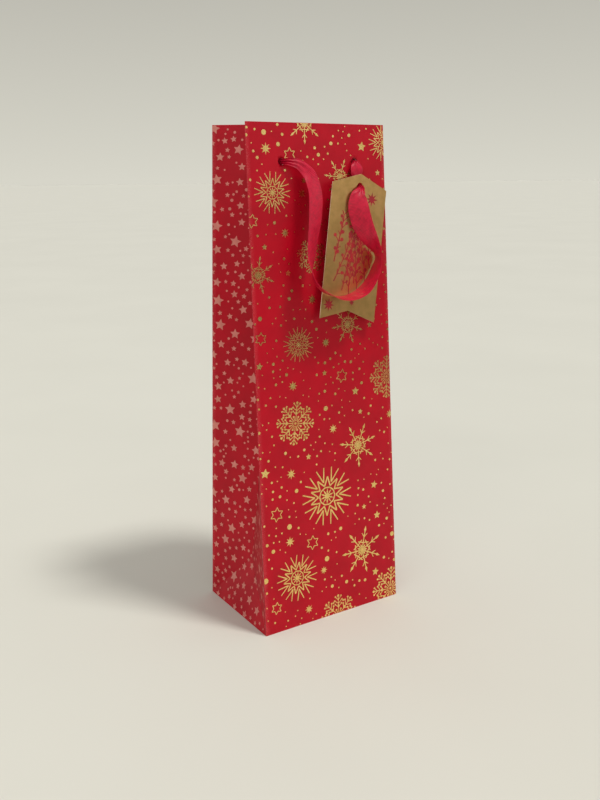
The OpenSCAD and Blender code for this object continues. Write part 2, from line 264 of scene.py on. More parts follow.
@dataclass(frozen=True)
class BagForm:
    """The bag's folded surface.

    A place on a side is its distance across the paper and its height up the paper. On the front and back the
    distance across runs from the middle, to the right as that side is seen from outside. On a gusset it runs
    from the front fold to the rear fold.
    """

    width: float
    depth: float
    height: float
    lean: float
    paper: float
    bulge: float = 0.9 * MM
    flat_top: float = 48 * MM
    hole_spacing: float = 62 * MM
    hole_drop: float = 27 * MM

    @classmethod
    def from_frame(cls) -> "BagForm":
        """Reads the bag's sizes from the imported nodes.

        Returns:
            The bag's form.
        """
        low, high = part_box("front_panel")
        flap_low, flap_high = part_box("base_outer_flap")
        axis = next(j for j in frame["joints"] if j["name"] == "tag_swing")["axis"]
        lean = math.atan2(axis[2], -axis[1])
        return cls(width=high.x - low.x, depth=-2 * low.y, height=high.z / math.cos(lean), lean=lean,
                   paper=flap_high.z - flap_low.z)

    @property
    def top_z(self) -> float:
        """Height of the mouth above the base."""
        return self.height * math.cos(self.lean)

    @property
    def apex_z(self) -> float:
        """Height at which a gusset's base triangle meets the middle crease."""
        return self.depth / 2 / (1 + math.tan(self.lean))

    def half_depth(self, z: float) -> float:
        """Half the distance between the front and back panels at a height."""
        return self.depth / 2 - math.tan(self.lean) * z

    def crease_in(self, z: float) -> float:
        """How far a gusset's middle crease stands in at a height."""
        return math.sqrt(max(0.0, (self.depth / 2) ** 2 - self.half_depth(z) ** 2))

    def facets(self, wall: Wall, across: float, up: float) -> list[Facet]:
        """The flat areas that meet at a place.

        Args:
            wall: The side of the bag.
            across: Distance across the paper.
            up: Distance up the paper.

        Returns:
            One area in the open, and several on a fold inside a gusset.
        """
        if wall in (Wall.FRONT, Wall.BACK):
            return [Facet.PANEL]
        from_fold = min(across, self.depth - across)
        found = []
        if up <= from_fold + NEAR:
            found.append(Facet.TRIANGLE)
        if up >= from_fold - NEAR:
            if across <= self.depth / 2 + NEAR:
                found.append(Facet.FRONT_HALF)
            if across >= self.depth / 2 - NEAR:
                found.append(Facet.REAR_HALF)
        return found

    def bare_point(self, wall: Wall, facet: Facet, across: float, up: float) -> Vector:
        """A place on one facet, before the paper's bulge.

        Args:
            wall: The side of the bag.
            facet: The flat area.
            across: Distance across the paper.
            up: Distance up the paper.

        Returns:
            The point.
        """
        if facet is Facet.PANEL:
            place = Vector((across, up * math.sin(self.lean) - self.depth / 2, up * math.cos(self.lean)))
            return place if wall is Wall.FRONT else Vector((-place.x, -place.y, place.z))
        half = self.depth / 2
        edge_x = -self.width / 2
        if facet is Facet.TRIANGLE:
            rise = up / half
            place = Vector((edge_x + self.crease_in(self.apex_z) * rise, across - half, self.apex_z * rise))
        else:
            to_crease = (across if facet is Facet.FRONT_HALF else self.depth - across) / half
            rise = (up - to_crease * half) / (self.height - to_crease * half)
            edge_z = self.top_z * rise
            crease_z = self.apex_z + (self.top_z - self.apex_z) * rise
            edge = Vector((edge_x, -self.half_depth(edge_z), edge_z))
            crease = Vector((edge_x + self.crease_in(crease_z), 0, crease_z))
            place = edge.lerp(crease, to_crease)
            if facet is Facet.REAR_HALF:
                place.y = -place.y
        return place if wall is Wall.LEFT else Vector((-place.x, place.y, place.z))

    def normal(self, wall: Wall, facet: Facet, across: float, up: float) -> Vector:
        """The direction out of one facet at a place.

        Args:
            wall: The side of the bag.
            facet: The flat area.
            across: Distance across the paper.
            up: Distance up the paper.

        Returns:
            The direction, with a length of 1.
        """
        step = 0.2 * MM
        after, before = (self.bare_point(wall, facet, across + s, up) for s in (step, -step))
        above, below = (self.bare_point(wall, facet, across, up + s) for s in (step, -step))
        out = (after - before).cross(above - below).normalized()
        outwards = {
            Wall.FRONT: Vector((0, -1, 0)), Wall.BACK: Vector((0, 1, 0)),
            Wall.LEFT: Vector((-1, 0, 0)), Wall.RIGHT: Vector((1, 0, 0)),
        }[wall]
        return out if out.dot(outwards) > 0 else -out

    def swell(self, wall: Wall, facet: Facet, across: float, up: float) -> float:
        """How far the paper bulges out at a place.

        Args:
            wall: The side of the bag.
            facet: The flat area.
            across: Distance across the paper.
            up: Distance up the paper.

        Returns:
            The distance, which is nothing along the folds, at the base and near the stiff top.
        """
        rise = smooth(up / (90 * MM)) * smooth((self.height - self.flat_top - up) / (110 * MM))
        half = self.depth / 2
        if facet is Facet.PANEL:
            share = 0.5 + across / self.width
        elif facet is Facet.TRIANGLE:
            return 0.0
        else:
            share = (across if facet is Facet.FRONT_HALF else self.depth - across) / half
        ripple = 1 + 0.35 * math.sin(up / (31 * MM) + (2.0 if wall is Wall.FRONT else 0.4))
        return self.bulge * rise * ripple * math.sin(math.pi * min(1.0, max(0.0, share)))

    def point(self, wall: Wall, across: float, up: float, lift: float = 0.0) -> Vector:
        """A place on the bag's outer face, or off it.

        Args:
            wall: The side of the bag.
            across: Distance across the paper.
            up: Distance up the paper.
            lift: Distance out of the face, negative inwards.

        Returns:
            The point. On a fold it keeps that distance from every facet that meets there.
        """
        facets = self.facets(wall, across, up)
        base = self.bare_point(wall, facets[0], across, up)
        out = lift + self.swell(wall, facets[0], across, up)
        normals = [self.normal(wall, facet, across, up) for facet in facets]
        return base + mitre(normals, out)


def mitre(normals: Sequence[Vector], out: float) -> Vector:
    """The shortest step that moves out by the same distance from each of some planes.

    Args:
        normals: The planes' directions.
        out: The distance.

    Returns:
        The step.
    """
    if len(normals) == 1:
        return normals[0] * out
    rows = np.array([list(n) for n in normals])
    return Vector(np.linalg.pinv(rows) @ np.full(len(rows), out))


# --- Finishes ---


class NodeBench:
    """Adds and joins the nodes of one tree."""

    def __init__(self, tree: bpy.types.NodeTree) -> None:
        """Starts on a tree.

        Args:
            tree: The node tree to fill.
        """
        self.tree = tree
        self.column = 0

    def add(self, kind: str, values: dict[str | int, object] | None = None,
            **settings: object) -> bpy.types.Node:
        """Adds a node.

        Args:
            kind: The node's type.
            values: Values of its input sockets, by name or number.
            settings: Its own properties.

        Returns:
            The node.
        """
        made = self.tree.nodes.new(kind)
        made.location = (self.column * 190, 0)
        self.column += 1
        for key, value in settings.items():
            setattr(made, key, value)
        for key, value in (values or {}).items():
            made.inputs[key].default_value = value
        return made

    def join(self, source: bpy.types.NodeSocket, target: bpy.types.NodeSocket) -> None:
        """Links an output to an input."""
        self.tree.links.new(source, target)

    def mix_colours(self, share: bpy.types.NodeSocket, first: Colour, second: Colour) -> bpy.types.NodeSocket:
        """Mixes two colours by a share that varies over the surface.

        Args:
            share: 0 for the first colour, 1 for the second.
            first: The first colour.
            second: The second colour.

        Returns:
            The mixed colour's socket.
        """
        mix = self.add("ShaderNodeMix", data_type="RGBA")
        mix.inputs[6].default_value = (*first, 1)
        mix.inputs[7].default_value = (*second, 1)
        self.join(share, mix.inputs[0])
        return mix.outputs[2]

    def remap(self, value: bpy.types.NodeSocket, source: Point2, target: Point2) -> bpy.types.NodeSocket:
        """Moves a value from one range to another, and keeps it in that range.

        Args:
            value: The socket to change.
            source: The range that counts.
            target: The range it becomes.

        Returns:
            The changed value's socket.
        """
        remap = self.add("ShaderNodeMapRange", {1: source[0], 2: source[1], 3: target[0], 4: target[1]})
        self.join(value, remap.inputs[0])
        return remap.outputs[0]

    def combine(self, operation: str, first: bpy.types.NodeSocket,
                second: bpy.types.NodeSocket | float) -> bpy.types.NodeSocket:
        """Works out a sum or product of two values.

        Args:
            operation: The math node's operation.
            first: The first value.
            second: The second value, a socket or a number.

        Returns:
            The result's socket.
        """
        result = self.add("ShaderNodeMath", operation=operation)
        self.join(first, result.inputs[0])
        if isinstance(second, (int, float)):
            result.inputs[1].default_value = second
        else:
            self.join(second, result.inputs[1])
        return result.outputs[0]


def new_group(name: str, inputs: Sequence[tuple[str, str, float]], outputs: Sequence[str]
              ) -> tuple[bpy.types.NodeTree, NodeBench, bpy.types.Node, bpy.types.Node]:
    """Starts a shader node group.

    Args:
        name: The group's name.
        inputs: Each input's name, socket type and default, where the type has one.
        outputs: The names of its value outputs.

    Returns:
        The group, its bench, its input node and its output node.
    """
    group = bpy.data.node_groups.new(name, "ShaderNodeTree")
    for label, kind, default in inputs:
        made = group.interface.new_socket(label, in_out="INPUT", socket_type=kind)
        if kind == "NodeSocketFloat":
            made.default_value = default
    for label in outputs:
        group.interface.new_socket(label, in_out="OUTPUT", socket_type="NodeSocketFloat")
    bench = NodeBench(group)
    entry = bench.add("NodeGroupInput")
    leave = bench.add("NodeGroupOutput")
    return group, bench, entry, leave


def grain_group() -> bpy.types.NodeTree:
    """Fine grain of a pressed surface.

    Returns:
        The group, which puts out a mask that varies in patches, and a fine height.
    """
    group, bench, entry, leave = new_group(
        "pressed_grain",
        [("Position", "NodeSocketVector", 0), ("Patch Scale", "NodeSocketFloat", 60),
         ("Grain Scale", "NodeSocketFloat", 2400)],
        ["Patches", "Grain"])
    patches = bench.add("ShaderNodeTexNoise", {"Detail": 3.0, "Roughness": 0.55})
    grain = bench.add("ShaderNodeTexNoise", {"Detail": 2.0, "Roughness": 0.6})
    bench.join(entry.outputs["Position"], patches.inputs["Vector"])
    bench.join(entry.outputs["Patch Scale"], patches.inputs["Scale"])
    bench.join(entry.outputs["Position"], grain.inputs["Vector"])
    bench.join(entry.outputs["Grain Scale"], grain.inputs["Scale"])
    bench.join(patches.outputs[0], leave.inputs["Patches"])
    bench.join(grain.outputs[0], leave.inputs["Grain"])
    return group


def wave_group() -> bpy.types.NodeTree:
    """Slow waves of a large folded sheet, as a height, with the fine grain added on top.

    Returns:
        The group, which puts out the height.
    """
    group, bench, entry, leave = new_group(
        "sheet_waves",
        [("Position", "NodeSocketVector", 0), ("Grain", "NodeSocketFloat", 0.5),
         ("Grain Share", "NodeSocketFloat", 0.05)],
        ["Height"])
    waves = bench.add("ShaderNodeTexNoise", {"Scale": 16.0, "Detail": 1.0, "Roughness": 0.4})
    bench.join(entry.outputs["Position"], waves.inputs["Vector"])
    fine = bench.combine("MULTIPLY", entry.outputs["Grain"], entry.outputs["Grain Share"])
    bench.join(bench.combine("ADD", waves.outputs[0], fine), leave.inputs["Height"])
    return group


def weave_group() -> bpy.types.NodeTree:
    """Threads of a woven ribbon, from its own length and width.

    Returns:
        The group, which puts out a height, a thread mask and a mask of the two selvages.
    """
    group, bench, entry, leave = new_group(
        "ribbon_weave",
        [("Along And Across", "NodeSocketVector", 0), ("Threads", "NodeSocketFloat", 1.1),
         ("Half Width", "NodeSocketFloat", 7.5)],
        ["Height", "Threads", "Selvage"])
    split = bench.add("ShaderNodeSeparateXYZ")
    bench.join(entry.outputs["Along And Across"], split.inputs[0])
    pitch = bench.combine("MULTIPLY", entry.outputs["Threads"], 2 * math.pi)
    ribs = bench.combine("SINE", bench.combine("MULTIPLY", split.outputs[0], pitch), 0.0)
    warp = bench.combine("SINE", bench.combine("MULTIPLY", split.outputs[1], pitch), 0.0)
    threads = bench.remap(bench.combine("ADD", ribs, warp), (-2, 2), (0, 1))
    off_middle = bench.combine("ABSOLUTE", split.outputs[1], 0.0)
    edge = bench.combine("DIVIDE", off_middle, entry.outputs["Half Width"])
    selvage = bench.remap(edge, (0.86, 0.93), (0, 1))
    bench.join(threads, leave.inputs["Threads"])
    bench.join(selvage, leave.inputs["Selvage"])
    bench.join(bench.combine("ADD", threads, selvage), leave.inputs["Height"])
    return group


@dataclass
class Bindery:
    """Builds each shared node group once, and starts each material."""

    groups: dict[str, bpy.types.NodeTree] = field(default_factory=dict)

    def group(self, build: Callable[[], bpy.types.NodeTree]) -> bpy.types.NodeTree:
        """A shared group, built the first time it is asked for.

        Args:
            build: The function that builds it.

        Returns:
            The group.
        """
        if build.__name__ not in self.groups:
            self.groups[build.__name__] = build()
        return self.groups[build.__name__]

    def start(self, name: str) -> tuple[bpy.types.Material, NodeBench, bpy.types.Node]:
        """Starts a material.

        Args:
            name: The material's name.

        Returns:
            The material, a bench on its nodes, and its surface shader.
        """
        material = bpy.data.materials.new(name)
        material.use_nodes = True
        bench = NodeBench(material.node_tree)
        return material, bench, material.node_tree.nodes["Principled BSDF"]

    def grain(self, bench: NodeBench, patch_scale: float, grain_scale: float) -> bpy.types.Node:
        """Places the grain group in a material, fed with the object's own position.

        Args:
            bench: The material's bench.
            patch_scale: Scale of the patches.
            grain_scale: Scale of the grain.

        Returns:
            The group's node.
        """
        place = bench.add("ShaderNodeTexCoord")
        made = bench.add("ShaderNodeGroup", node_tree=self.group(grain_group))
        made.inputs["Patch Scale"].default_value = patch_scale
        made.inputs["Grain Scale"].default_value = grain_scale
        bench.join(place.outputs["Object"], made.inputs["Position"])
        return made

    def waves(self, bench: NodeBench, grain: bpy.types.Node, grain_share: float) -> bpy.types.NodeSocket:
        """Places the wave group on top of a grain group.

        Args:
            bench: The material's bench.
            grain: The grain group's node.
            grain_share: How much of the grain is added to the waves.

        Returns:
            The socket of its height.
        """
        place = bench.add("ShaderNodeTexCoord")
        made = bench.add("ShaderNodeGroup", node_tree=self.group(wave_group))
        made.inputs["Grain Share"].default_value = grain_share
        bench.join(place.outputs["Object"], made.inputs["Position"])
        bench.join(grain.outputs["Grain"], made.inputs["Grain"])
        return made.outputs["Height"]


def bump(bench: NodeBench, height: bpy.types.NodeSocket, shader: bpy.types.Node, strength: float,
         distance: float) -> None:
    """Gives a shader a bump.

    Args:
        bench: The material's bench.
        height: The height to feel.
        shader: The surface shader.
        strength: Strength of the effect.
        distance: Height of the relief in metres.
    """
    relief = bench.add("ShaderNodeBump", {"Strength": strength, "Distance": distance})
    bench.join(height, relief.inputs["Height"])
    bench.join(relief.outputs[0], shader.inputs["Normal"])


@dataclass(frozen=True)
class PaperFinish:
    """Printed or plain paper, laminated or raw, with pale fibres where a fold has rubbed."""

    name: str
    tone: Colour
    deep_tone: Colour
    rub_tone: Colour
    roughness: float
    coat: float
    rub: float = 0.5
    specular: float = 0.16
    wave_height: float = 0.5 * MM

    def material(self, bindery: Bindery) -> bpy.types.Material:
        """Builds the finish.

        Args:
            bindery: The shared node groups.

        Returns:
            The material.
        """
        material, bench, shader = bindery.start(self.name)
        grain = bindery.grain(bench, patch_scale=45, grain_scale=2600)
        patch = bench.remap(grain.outputs["Patches"], (0.35, 0.65), (0, 1))
        printed = bench.mix_colours(patch, self.tone, self.deep_tone)
        worn = bench.add("ShaderNodeAttribute", attribute_name="fold")
        fibres = bench.remap(grain.outputs["Grain"], (0.5, 0.62), (0, self.rub))
        scuff = bench.combine("MULTIPLY", worn.outputs["Fac"], fibres)
        mix = bench.add("ShaderNodeMix", data_type="RGBA")
        bench.join(scuff, mix.inputs[0])
        bench.join(printed, mix.inputs[6])
        mix.inputs[7].default_value = (*self.rub_tone, 1)
        bench.join(mix.outputs[2], shader.inputs["Base Color"])
        limits = (self.roughness - 0.04, self.roughness + 0.05)
        spread = bench.remap(grain.outputs["Patches"], (0.3, 0.7), limits)
        bench.join(bench.combine("ADD", spread, scuff), shader.inputs["Roughness"])
        shader.inputs["Specular IOR Level"].default_value = self.specular
        shader.inputs["Coat Weight"].default_value = self.coat
        shader.inputs["Coat Roughness"].default_value = 0.22
        bump(bench, bindery.waves(bench, grain, 0.012), shader, 1.0, self.wave_height)
        return material


@dataclass(frozen=True)
class FoilFinish:
    """Hot-stamped metal foil, slightly uneven."""

    name: str
    tone: Colour
    deep_tone: Colour
    roughness: float
    metallic: float = 1.0
    wave_height: float = 0.5 * MM

    def material(self, bindery: Bindery) -> bpy.types.Material:
        """Builds the finish.

        Args:
            bindery: The shared node groups.

        Returns:
            The material.
        """
        material, bench, shader = bindery.start(self.name)
        grain = bindery.grain(bench, patch_scale=180, grain_scale=5200)
        patch = bench.remap(grain.outputs["Patches"], (0.35, 0.65), (0, 1))
        bench.join(bench.mix_colours(patch, self.tone, self.deep_tone), shader.inputs["Base Color"])
        limits = (self.roughness - 0.06, self.roughness + 0.08)
        spread = bench.remap(grain.outputs["Grain"], (0.3, 0.7), limits)
        bench.join(spread, shader.inputs["Roughness"])
        shader.inputs["Metallic"].default_value = self.metallic
        bump(bench, bindery.waves(bench, grain, 0.02), shader, 1.0, self.wave_height)
        return material


@dataclass(frozen=True)
class BoardFinish:
    """Grey board pressed from mixed fibres."""

    name: str
    tone: Colour
    fleck_tone: Colour

    def material(self, bindery: Bindery) -> bpy.types.Material:
        """Builds the finish.

        Args:
            bindery: The shared node groups.

        Returns:
            The material.
        """
        material, bench, shader = bindery.start(self.name)
        grain = bindery.grain(bench, patch_scale=700, grain_scale=1500)
        flecks = bench.remap(grain.outputs["Patches"], (0.52, 0.66), (0, 1))
        bench.join(bench.mix_colours(flecks, self.tone, self.fleck_tone), shader.inputs["Base Color"])
        bench.join(bench.remap(grain.outputs["Grain"], (0.3, 0.7), (0.78, 0.95)), shader.inputs["Roughness"])
        bump(bench, grain.outputs["Grain"], shader, 0.6, 0.08 * MM)
        return material


@dataclass(frozen=True)
class RibbonFinish:
    """Woven satin ribbon with firm selvages."""

    name: str
    tone: Colour
    deep_tone: Colour
    half_width: float = 7.5

    def material(self, bindery: Bindery) -> bpy.types.Material:
        """Builds the finish.

        Args:
            bindery: The shared node groups.

        Returns:
            The material.
        """
        material, bench, shader = bindery.start(self.name)
        lie = bench.add("ShaderNodeAttribute", attribute_name="weave")
        weave = bench.add("ShaderNodeGroup", node_tree=bindery.group(weave_group))
        weave.inputs["Half Width"].default_value = self.half_width
        bench.join(lie.outputs["Vector"], weave.inputs["Along And Across"])
        grain = bindery.grain(bench, patch_scale=320, grain_scale=1800)
        lit = bench.combine("MULTIPLY", weave.outputs["Threads"], grain.outputs["Patches"])
        share = bench.remap(lit, (0.1, 0.42), (1, 0))
        bench.join(bench.mix_colours(share, self.tone, self.deep_tone), shader.inputs["Base Color"])
        spread = bench.remap(grain.outputs["Patches"], (0.3, 0.7), (0.36, 0.5))
        rough = bench.combine("ADD", spread, bench.combine("MULTIPLY", weave.outputs["Selvage"], 0.12))
        bench.join(rough, shader.inputs["Roughness"])
        shader.inputs["Specular IOR Level"].default_value = 0.3
        shader.inputs["Sheen Weight"].default_value = 0.1
        shader.inputs["Sheen Roughness"].default_value = 0.35
        shader.inputs["Sheen Tint"].default_value = (*self.tone, 1)
        bump(bench, weave.outputs["Height"], shader, 0.5, 0.06 * MM)
        return material


@dataclass(frozen=True)
class InkFinish:
    """Ink or matt foil printed on paper."""

    name: str
    tone: Colour
    deep_tone: Colour
    roughness: float = 0.42
    metallic: float = 0.0

    def material(self, bindery: Bindery) -> bpy.types.Material:
        """Builds the finish.

        Args:
            bindery: The shared node groups.

        Returns:
            The material.
        """
        material, bench, shader = bindery.start(self.name)
        grain = bindery.grain(bench, patch_scale=220, grain_scale=3600)
        patch = bench.remap(grain.outputs["Patches"], (0.35, 0.65), (0, 1))
        bench.join(bench.mix_colours(patch, self.tone, self.deep_tone), shader.inputs["Base Color"])
        limits = (self.roughness - 0.05, self.roughness + 0.08)
        spread = bench.remap(grain.outputs["Grain"], (0.3, 0.7), limits)
        bench.join(spread, shader.inputs["Roughness"])
        shader.inputs["Metallic"].default_value = self.metallic
        bump(bench, bindery.waves(bench, grain, 0.02), shader, 1.0, 0.5 * MM)
        return material


@dataclass
class Finishes:
    """Every material of the bag."""

    bindery: Bindery = field(default_factory=Bindery)
    made: dict[str, bpy.types.Material] = field(default_factory=dict)

    def build(self) -> None:
        """Builds them all."""
        recipes = [
            PaperFinish("coated_red_paper", srgb(177, 8, 31), srgb(165, 7, 28), srgb(228, 150, 150),
                        roughness=0.36, coat=0.06),
            PaperFinish("white_paper", srgb(236, 234, 228), srgb(228, 225, 217), srgb(245, 244, 240),
                        roughness=0.75, coat=0.0, rub=0.2),
            FoilFinish("gold_foil", srgb(250, 218, 140), srgb(236, 198, 118), 0.27),
            FoilFinish("gold_card", srgb(226, 180, 114), srgb(210, 166, 100), 0.34, wave_height=0.3 * MM),
            InkFinish("rose_gold_print", srgb(212, 134, 122), srgb(198, 118, 106), 0.42, 0.35),
            InkFinish("red_ink", srgb(172, 16, 32), srgb(150, 14, 28)),
            BoardFinish("grey_board", srgb(186, 183, 175), srgb(152, 148, 140)),
            BoardFinish("card_edge", srgb(226, 214, 178), srgb(204, 188, 150)),
            RibbonFinish("crimson_ribbon", srgb(214, 14, 58), srgb(150, 6, 36)),
        ]
        for recipe in recipes:
            self.made[recipe.name] = recipe.material(self.bindery)

    def __getitem__(self, name: str) -> bpy.types.Material:
        """The material of a finish, by name."""
        return self.made[name]


# --- Printed motifs ---


class Motif(Enum):
    """The shapes of the print."""

    BURST = "burst"
    SNOWFLAKE = "snowflake"
    LACE = "lace"
    OPEN_STAR = "open_star"
    SPARK = "spark"
    STAR = "star"
    DOT = "dot"


def polar(radius: float, angle: float) -> Point2:
    """A point from its distance and its angle in radians, clockwise from straight up."""
    return radius * math.sin(angle), radius * math.cos(angle)


def stroke(start: Point2, end: Point2, width: float, taper: float = 1.0) -> list[Point2]:
    """The outline of a straight line.

    Args:
        start: One end.
        end: The other end.
        width: Width at the start.
        taper: Width at the end as a share of that.

    Returns:
        Four corners.
    """
    dx, dy = end[0] - start[0], end[1] - start[1]
    length = math.hypot(dx, dy) or 1.0
    nx, ny = -dy / length * width / 2, dx / length * width / 2
    return [(start[0] + nx, start[1] + ny), (start[0] - nx, start[1] - ny),
            (end[0] - nx * taper, end[1] - ny * taper), (end[0] + nx * taper, end[1] + ny * taper)]


def disc(centre: Point2, radius: float, sides: int = 10) -> list[Point2]:
    """The outline of a dot."""
    steps = (2 * math.pi * i / sides for i in range(sides))
    return [(centre[0] + radius * math.cos(a), centre[1] + radius * math.sin(a)) for a in steps]


def spiked(radius: float, inner: float, tips: int, turn: float = 0.0) -> list[Point2]:
    """The outline of a solid star.

    Args:
        radius: Distance to the tips.
        inner: Distance to the notches.
        tips: Number of tips.
        turn: Angle of the first tip.

    Returns:
        The outline's points.
    """
    return [polar(radius if i % 2 == 0 else inner, turn - math.pi * i / tips) for i in range(2 * tips)]


def diamond(near: float, far: float, width: float, angle: float) -> list[Point2]:
    """A diamond whose long axis points away from the middle.

    Args:
        near: Distance to the near tip.
        far: Distance to the far tip.
        width: Width where it is widest.
        angle: Angle of its long axis.

    Returns:
        Four corners.
    """
    middle = near + 0.4 * (far - near)
    half_turn = math.atan2(width / 2, middle)
    reach = math.hypot(middle, width / 2)
    return [polar(far, angle), polar(reach, angle - half_turn), polar(near, angle),
            polar(reach, angle + half_turn)]


def burst(radius: float) -> list[list[Point2]]:
    """Ten forked rays round a pointed ring and a rosette.

    Args:
        radius: Distance to the tips.

    Returns:
        The outlines of its parts.
    """
    line = max(0.55, 0.05 * radius)
    arms = 10
    found = [disc((0, 0), 0.1 * radius, 12)]
    for i in range(arms):
        angle = 2 * math.pi * i / arms
        gap = math.pi / arms
        found.append(diamond(0.06 * radius, 0.28 * radius, 0.06 * radius, angle))
        found.append(stroke(polar(0.31 * radius, angle - gap), polar(0.31 * radius, angle + gap), 0.9 * line))
        for side in (-1, 1):
            tip = polar(0.68 * radius, angle)
            found.append(stroke(polar(0.36 * radius, angle + side * gap), tip, line))
            prong = polar(radius, angle + (1 + 0.5 * side) * gap)
            found.append(stroke(polar(0.5 * radius, angle + gap), prong, line, 0.8))
    return found


def snowflake(radius: float) -> list[list[Point2]]:
    """Seven slim arms with barbs and diamond tips round a small ring.

    Args:
        radius: Distance to the tips.

    Returns:
        The outlines of its parts.
    """
    line = max(0.5, 0.045 * radius)
    arms = 7
    found = [disc((0, 0), 0.09 * radius)]
    for i in range(arms):
        angle = 2 * math.pi * i / arms
        gap = math.pi / arms
        found.append(diamond(0.08 * radius, 0.27 * radius, 0.08 * radius, angle + gap))
        found.append(stroke(polar(0.06 * radius, angle), polar(0.82 * radius, angle), line))
        dip, peak = polar(0.3 * radius, angle), polar(0.36 * radius, angle + gap)
        found.append(stroke(polar(0.36 * radius, angle - gap), dip, line))
        found.append(stroke(peak, dip, line))
        for share in (0.45, 1.55):
            found.append(stroke(peak, polar(0.42 * radius, angle + share * gap), line))
        found.append(diamond(0.72 * radius, radius, 0.12 * radius, angle))
        for side in (-1, 1):
            barb = polar(0.7 * radius, angle + side * 0.2)
            found.append(stroke(polar(0.54 * radius, angle), barb, line, 0.7))
    return found


def lace(radius: float) -> list[list[Point2]]:
    """A round lacy flake: eight branching arms with beads.

    Args:
        radius: Distance to the tips.

    Returns:
        The outlines of its parts.
    """
    line = max(0.45, 0.035 * radius)
    arms = 8
    found = [disc((0, 0), 0.06 * radius)]
    for i in range(arms):
        angle = 2 * math.pi * i / arms
        gap = math.pi / arms
        found.append(stroke(polar(0.1 * radius, angle), polar(0.86 * radius, angle), line))
        found.append(disc(polar(0.3 * radius, angle + gap), 0.05 * radius, 8))
        found.append(stroke(polar(0.12 * radius, angle + gap), polar(0.3 * radius, angle + gap), line))
        found.append(disc(polar(0.47 * radius, angle), 0.055 * radius, 8))
        found.append(disc(polar(0.9 * radius, angle), 0.06 * radius, 8))
        for side in (-1, 1):
            for root, reach, turn in ((0.38, 0.55, 0.3), (0.55, 0.72, 0.27), (0.7, 0.88, 0.17)):
                end = polar(reach * radius, angle + side * turn)
                found.append(stroke(polar(root * radius, angle), end, line))
                found.append(disc(end, 0.045 * radius, 8))
        found.append(disc(polar(0.68 * radius, angle + gap), 0.05 * radius, 8))
    return found


def open_star(radius: float) -> list[list[Point2]]:
    """The outline of a six-pointed star."""
    tips = spiked(radius, 0.56 * radius, 6)
    return [stroke(tips[i], tips[(i + 1) % len(tips)], 0.55) for i in range(len(tips))]


def motif_shapes(kind: Motif, radius: float) -> list[list[Point2]]:
    """The outlines of a motif round its own middle, in millimetres.

    Args:
        kind: The motif.
        radius: Its radius.

    Returns:
        The outlines of its parts.
    """
    if kind is Motif.BURST:
        return burst(radius)
    if kind is Motif.SNOWFLAKE:
        return snowflake(radius)
    if kind is Motif.LACE:
        return lace(radius)
    if kind is Motif.OPEN_STAR:
        return open_star(radius)
    if kind is Motif.SPARK:
        return [spiked(radius, 0.42 * radius, 8)]
    if kind is Motif.STAR:
        return [spiked(radius, 0.48 * radius, 5)]
    return [disc((0, 0), radius, 10)]


@dataclass(frozen=True)
class Placed:
    """A motif in its place on a side, in millimetres and degrees."""

    kind: Motif
    across: float
    up: float
    radius: float
    turn: float = 0.0

    def outlines(self) -> list[list[Point2]]:
        """Its outlines on the side.

        Returns:
            The outlines of its parts.
        """
        turn = math.radians(self.turn)
        cos, sin = math.cos(turn), math.sin(turn)
        return [[(self.across + x * cos + y * sin, self.up - x * sin + y * cos) for x, y in shape]
                for shape in motif_shapes(self.kind, self.radius)]

    def convex_parts(self, outline: list[Point2]) -> list[list[Point2]]:
        """Cuts one of its outlines into parts without notches, which a fold can cut cleanly.

        Args:
            outline: The outline.

        Returns:
            The parts.
        """
        if self.kind not in (Motif.STAR, Motif.SPARK):
            return [outline]
        count = len(outline)
        return [[(self.across, self.up), outline[i - 1], outline[i], outline[(i + 1) % count]]
                for i in range(0, count, 2)]


PANEL_PRINT = [Placed(kind, *place) for kind, places in {
    Motif.BURST: [
        (-39, 312, 14.5, 4), (-23, 205, 12.5, 8), (-3, 91, 21.5, 3), (-31, 36, 17, 10),
        (58, 347, 13.5, 2),
    ],
    Motif.SNOWFLAKE: [
        (-11, 360, 15, 26), (18, 322, 14, 20), (-53, 256, 13.5, 10), (20, 215, 14.5, 8),
        (26, 124, 17, 24), (27, 43, 18.5, 13),
    ],
    Motif.LACE: [
        (-28, 149, 16.5, 8), (55, 172, 17, 3), (-9, 267, 13, 12), (4, -2, 17, 0), (53, 6, 18, 5),
    ],
    Motif.OPEN_STAR: [
        (-24, 338, 4.8), (-56, 293, 4.8, 10), (-53, 212, 4.6, 5), (13, 178, 5, 12), (-46, 86, 5.2, 8),
        (-17, 59, 5.2, 4), (-49, 18, 4.4, 9),
    ],
    Motif.SPARK: [
        (-43, 342, 4.2), (-15, 311, 3.4), (-30, 284, 3.5), (-10, 236, 3.8), (0, 204, 3.6),
        (-29, 176, 3.7), (4, 140, 3.5), (-33, 113, 3.8), (-36, 64, 3.8), (-8, 36, 3), (-22, 10, 3.4),
        (57, 143, 3.4),
    ],
    Motif.STAR: [
        (38, 344, 3.8, 8), (52, 325, 2.4), (-55, 193, 2.8, 12), (25, 165, 3.3, 5), (-2, 182, 2.2),
        (29, 149, 2.2, 9), (-18, 123, 2.4, 3), (-54, 117, 3.8, 10), (40, 91, 3.2, 14), (30, 76, 2.2),
        (42, 67, 3.2, 4), (39, 23, 3.2, 11), (40, 213, 2.4), (-29, 256, 2.4, 7), (-47, 275, 2.2),
    ],
    Motif.DOT: [
        (-44, 353, 1.9), (-33, 345, 1.5), (-13, 320, 1.7), (0, 338, 1.4), (11, 346, 1.4), (27, 352, 1.3),
        (-2, 156, 1.8), (-36, 75, 2), (-5, 44, 2), (-57, 40, 2.1), (56, 49, 1.8), (-53, 226, 1.6),
        (-29, 238, 1.3), (-50, 60, 1.5), (-29, 100, 1.5), (8, 64, 1.4), (-1, 22, 1.3), (12, 22, 1.4),
    ],
}.items() for place in places]


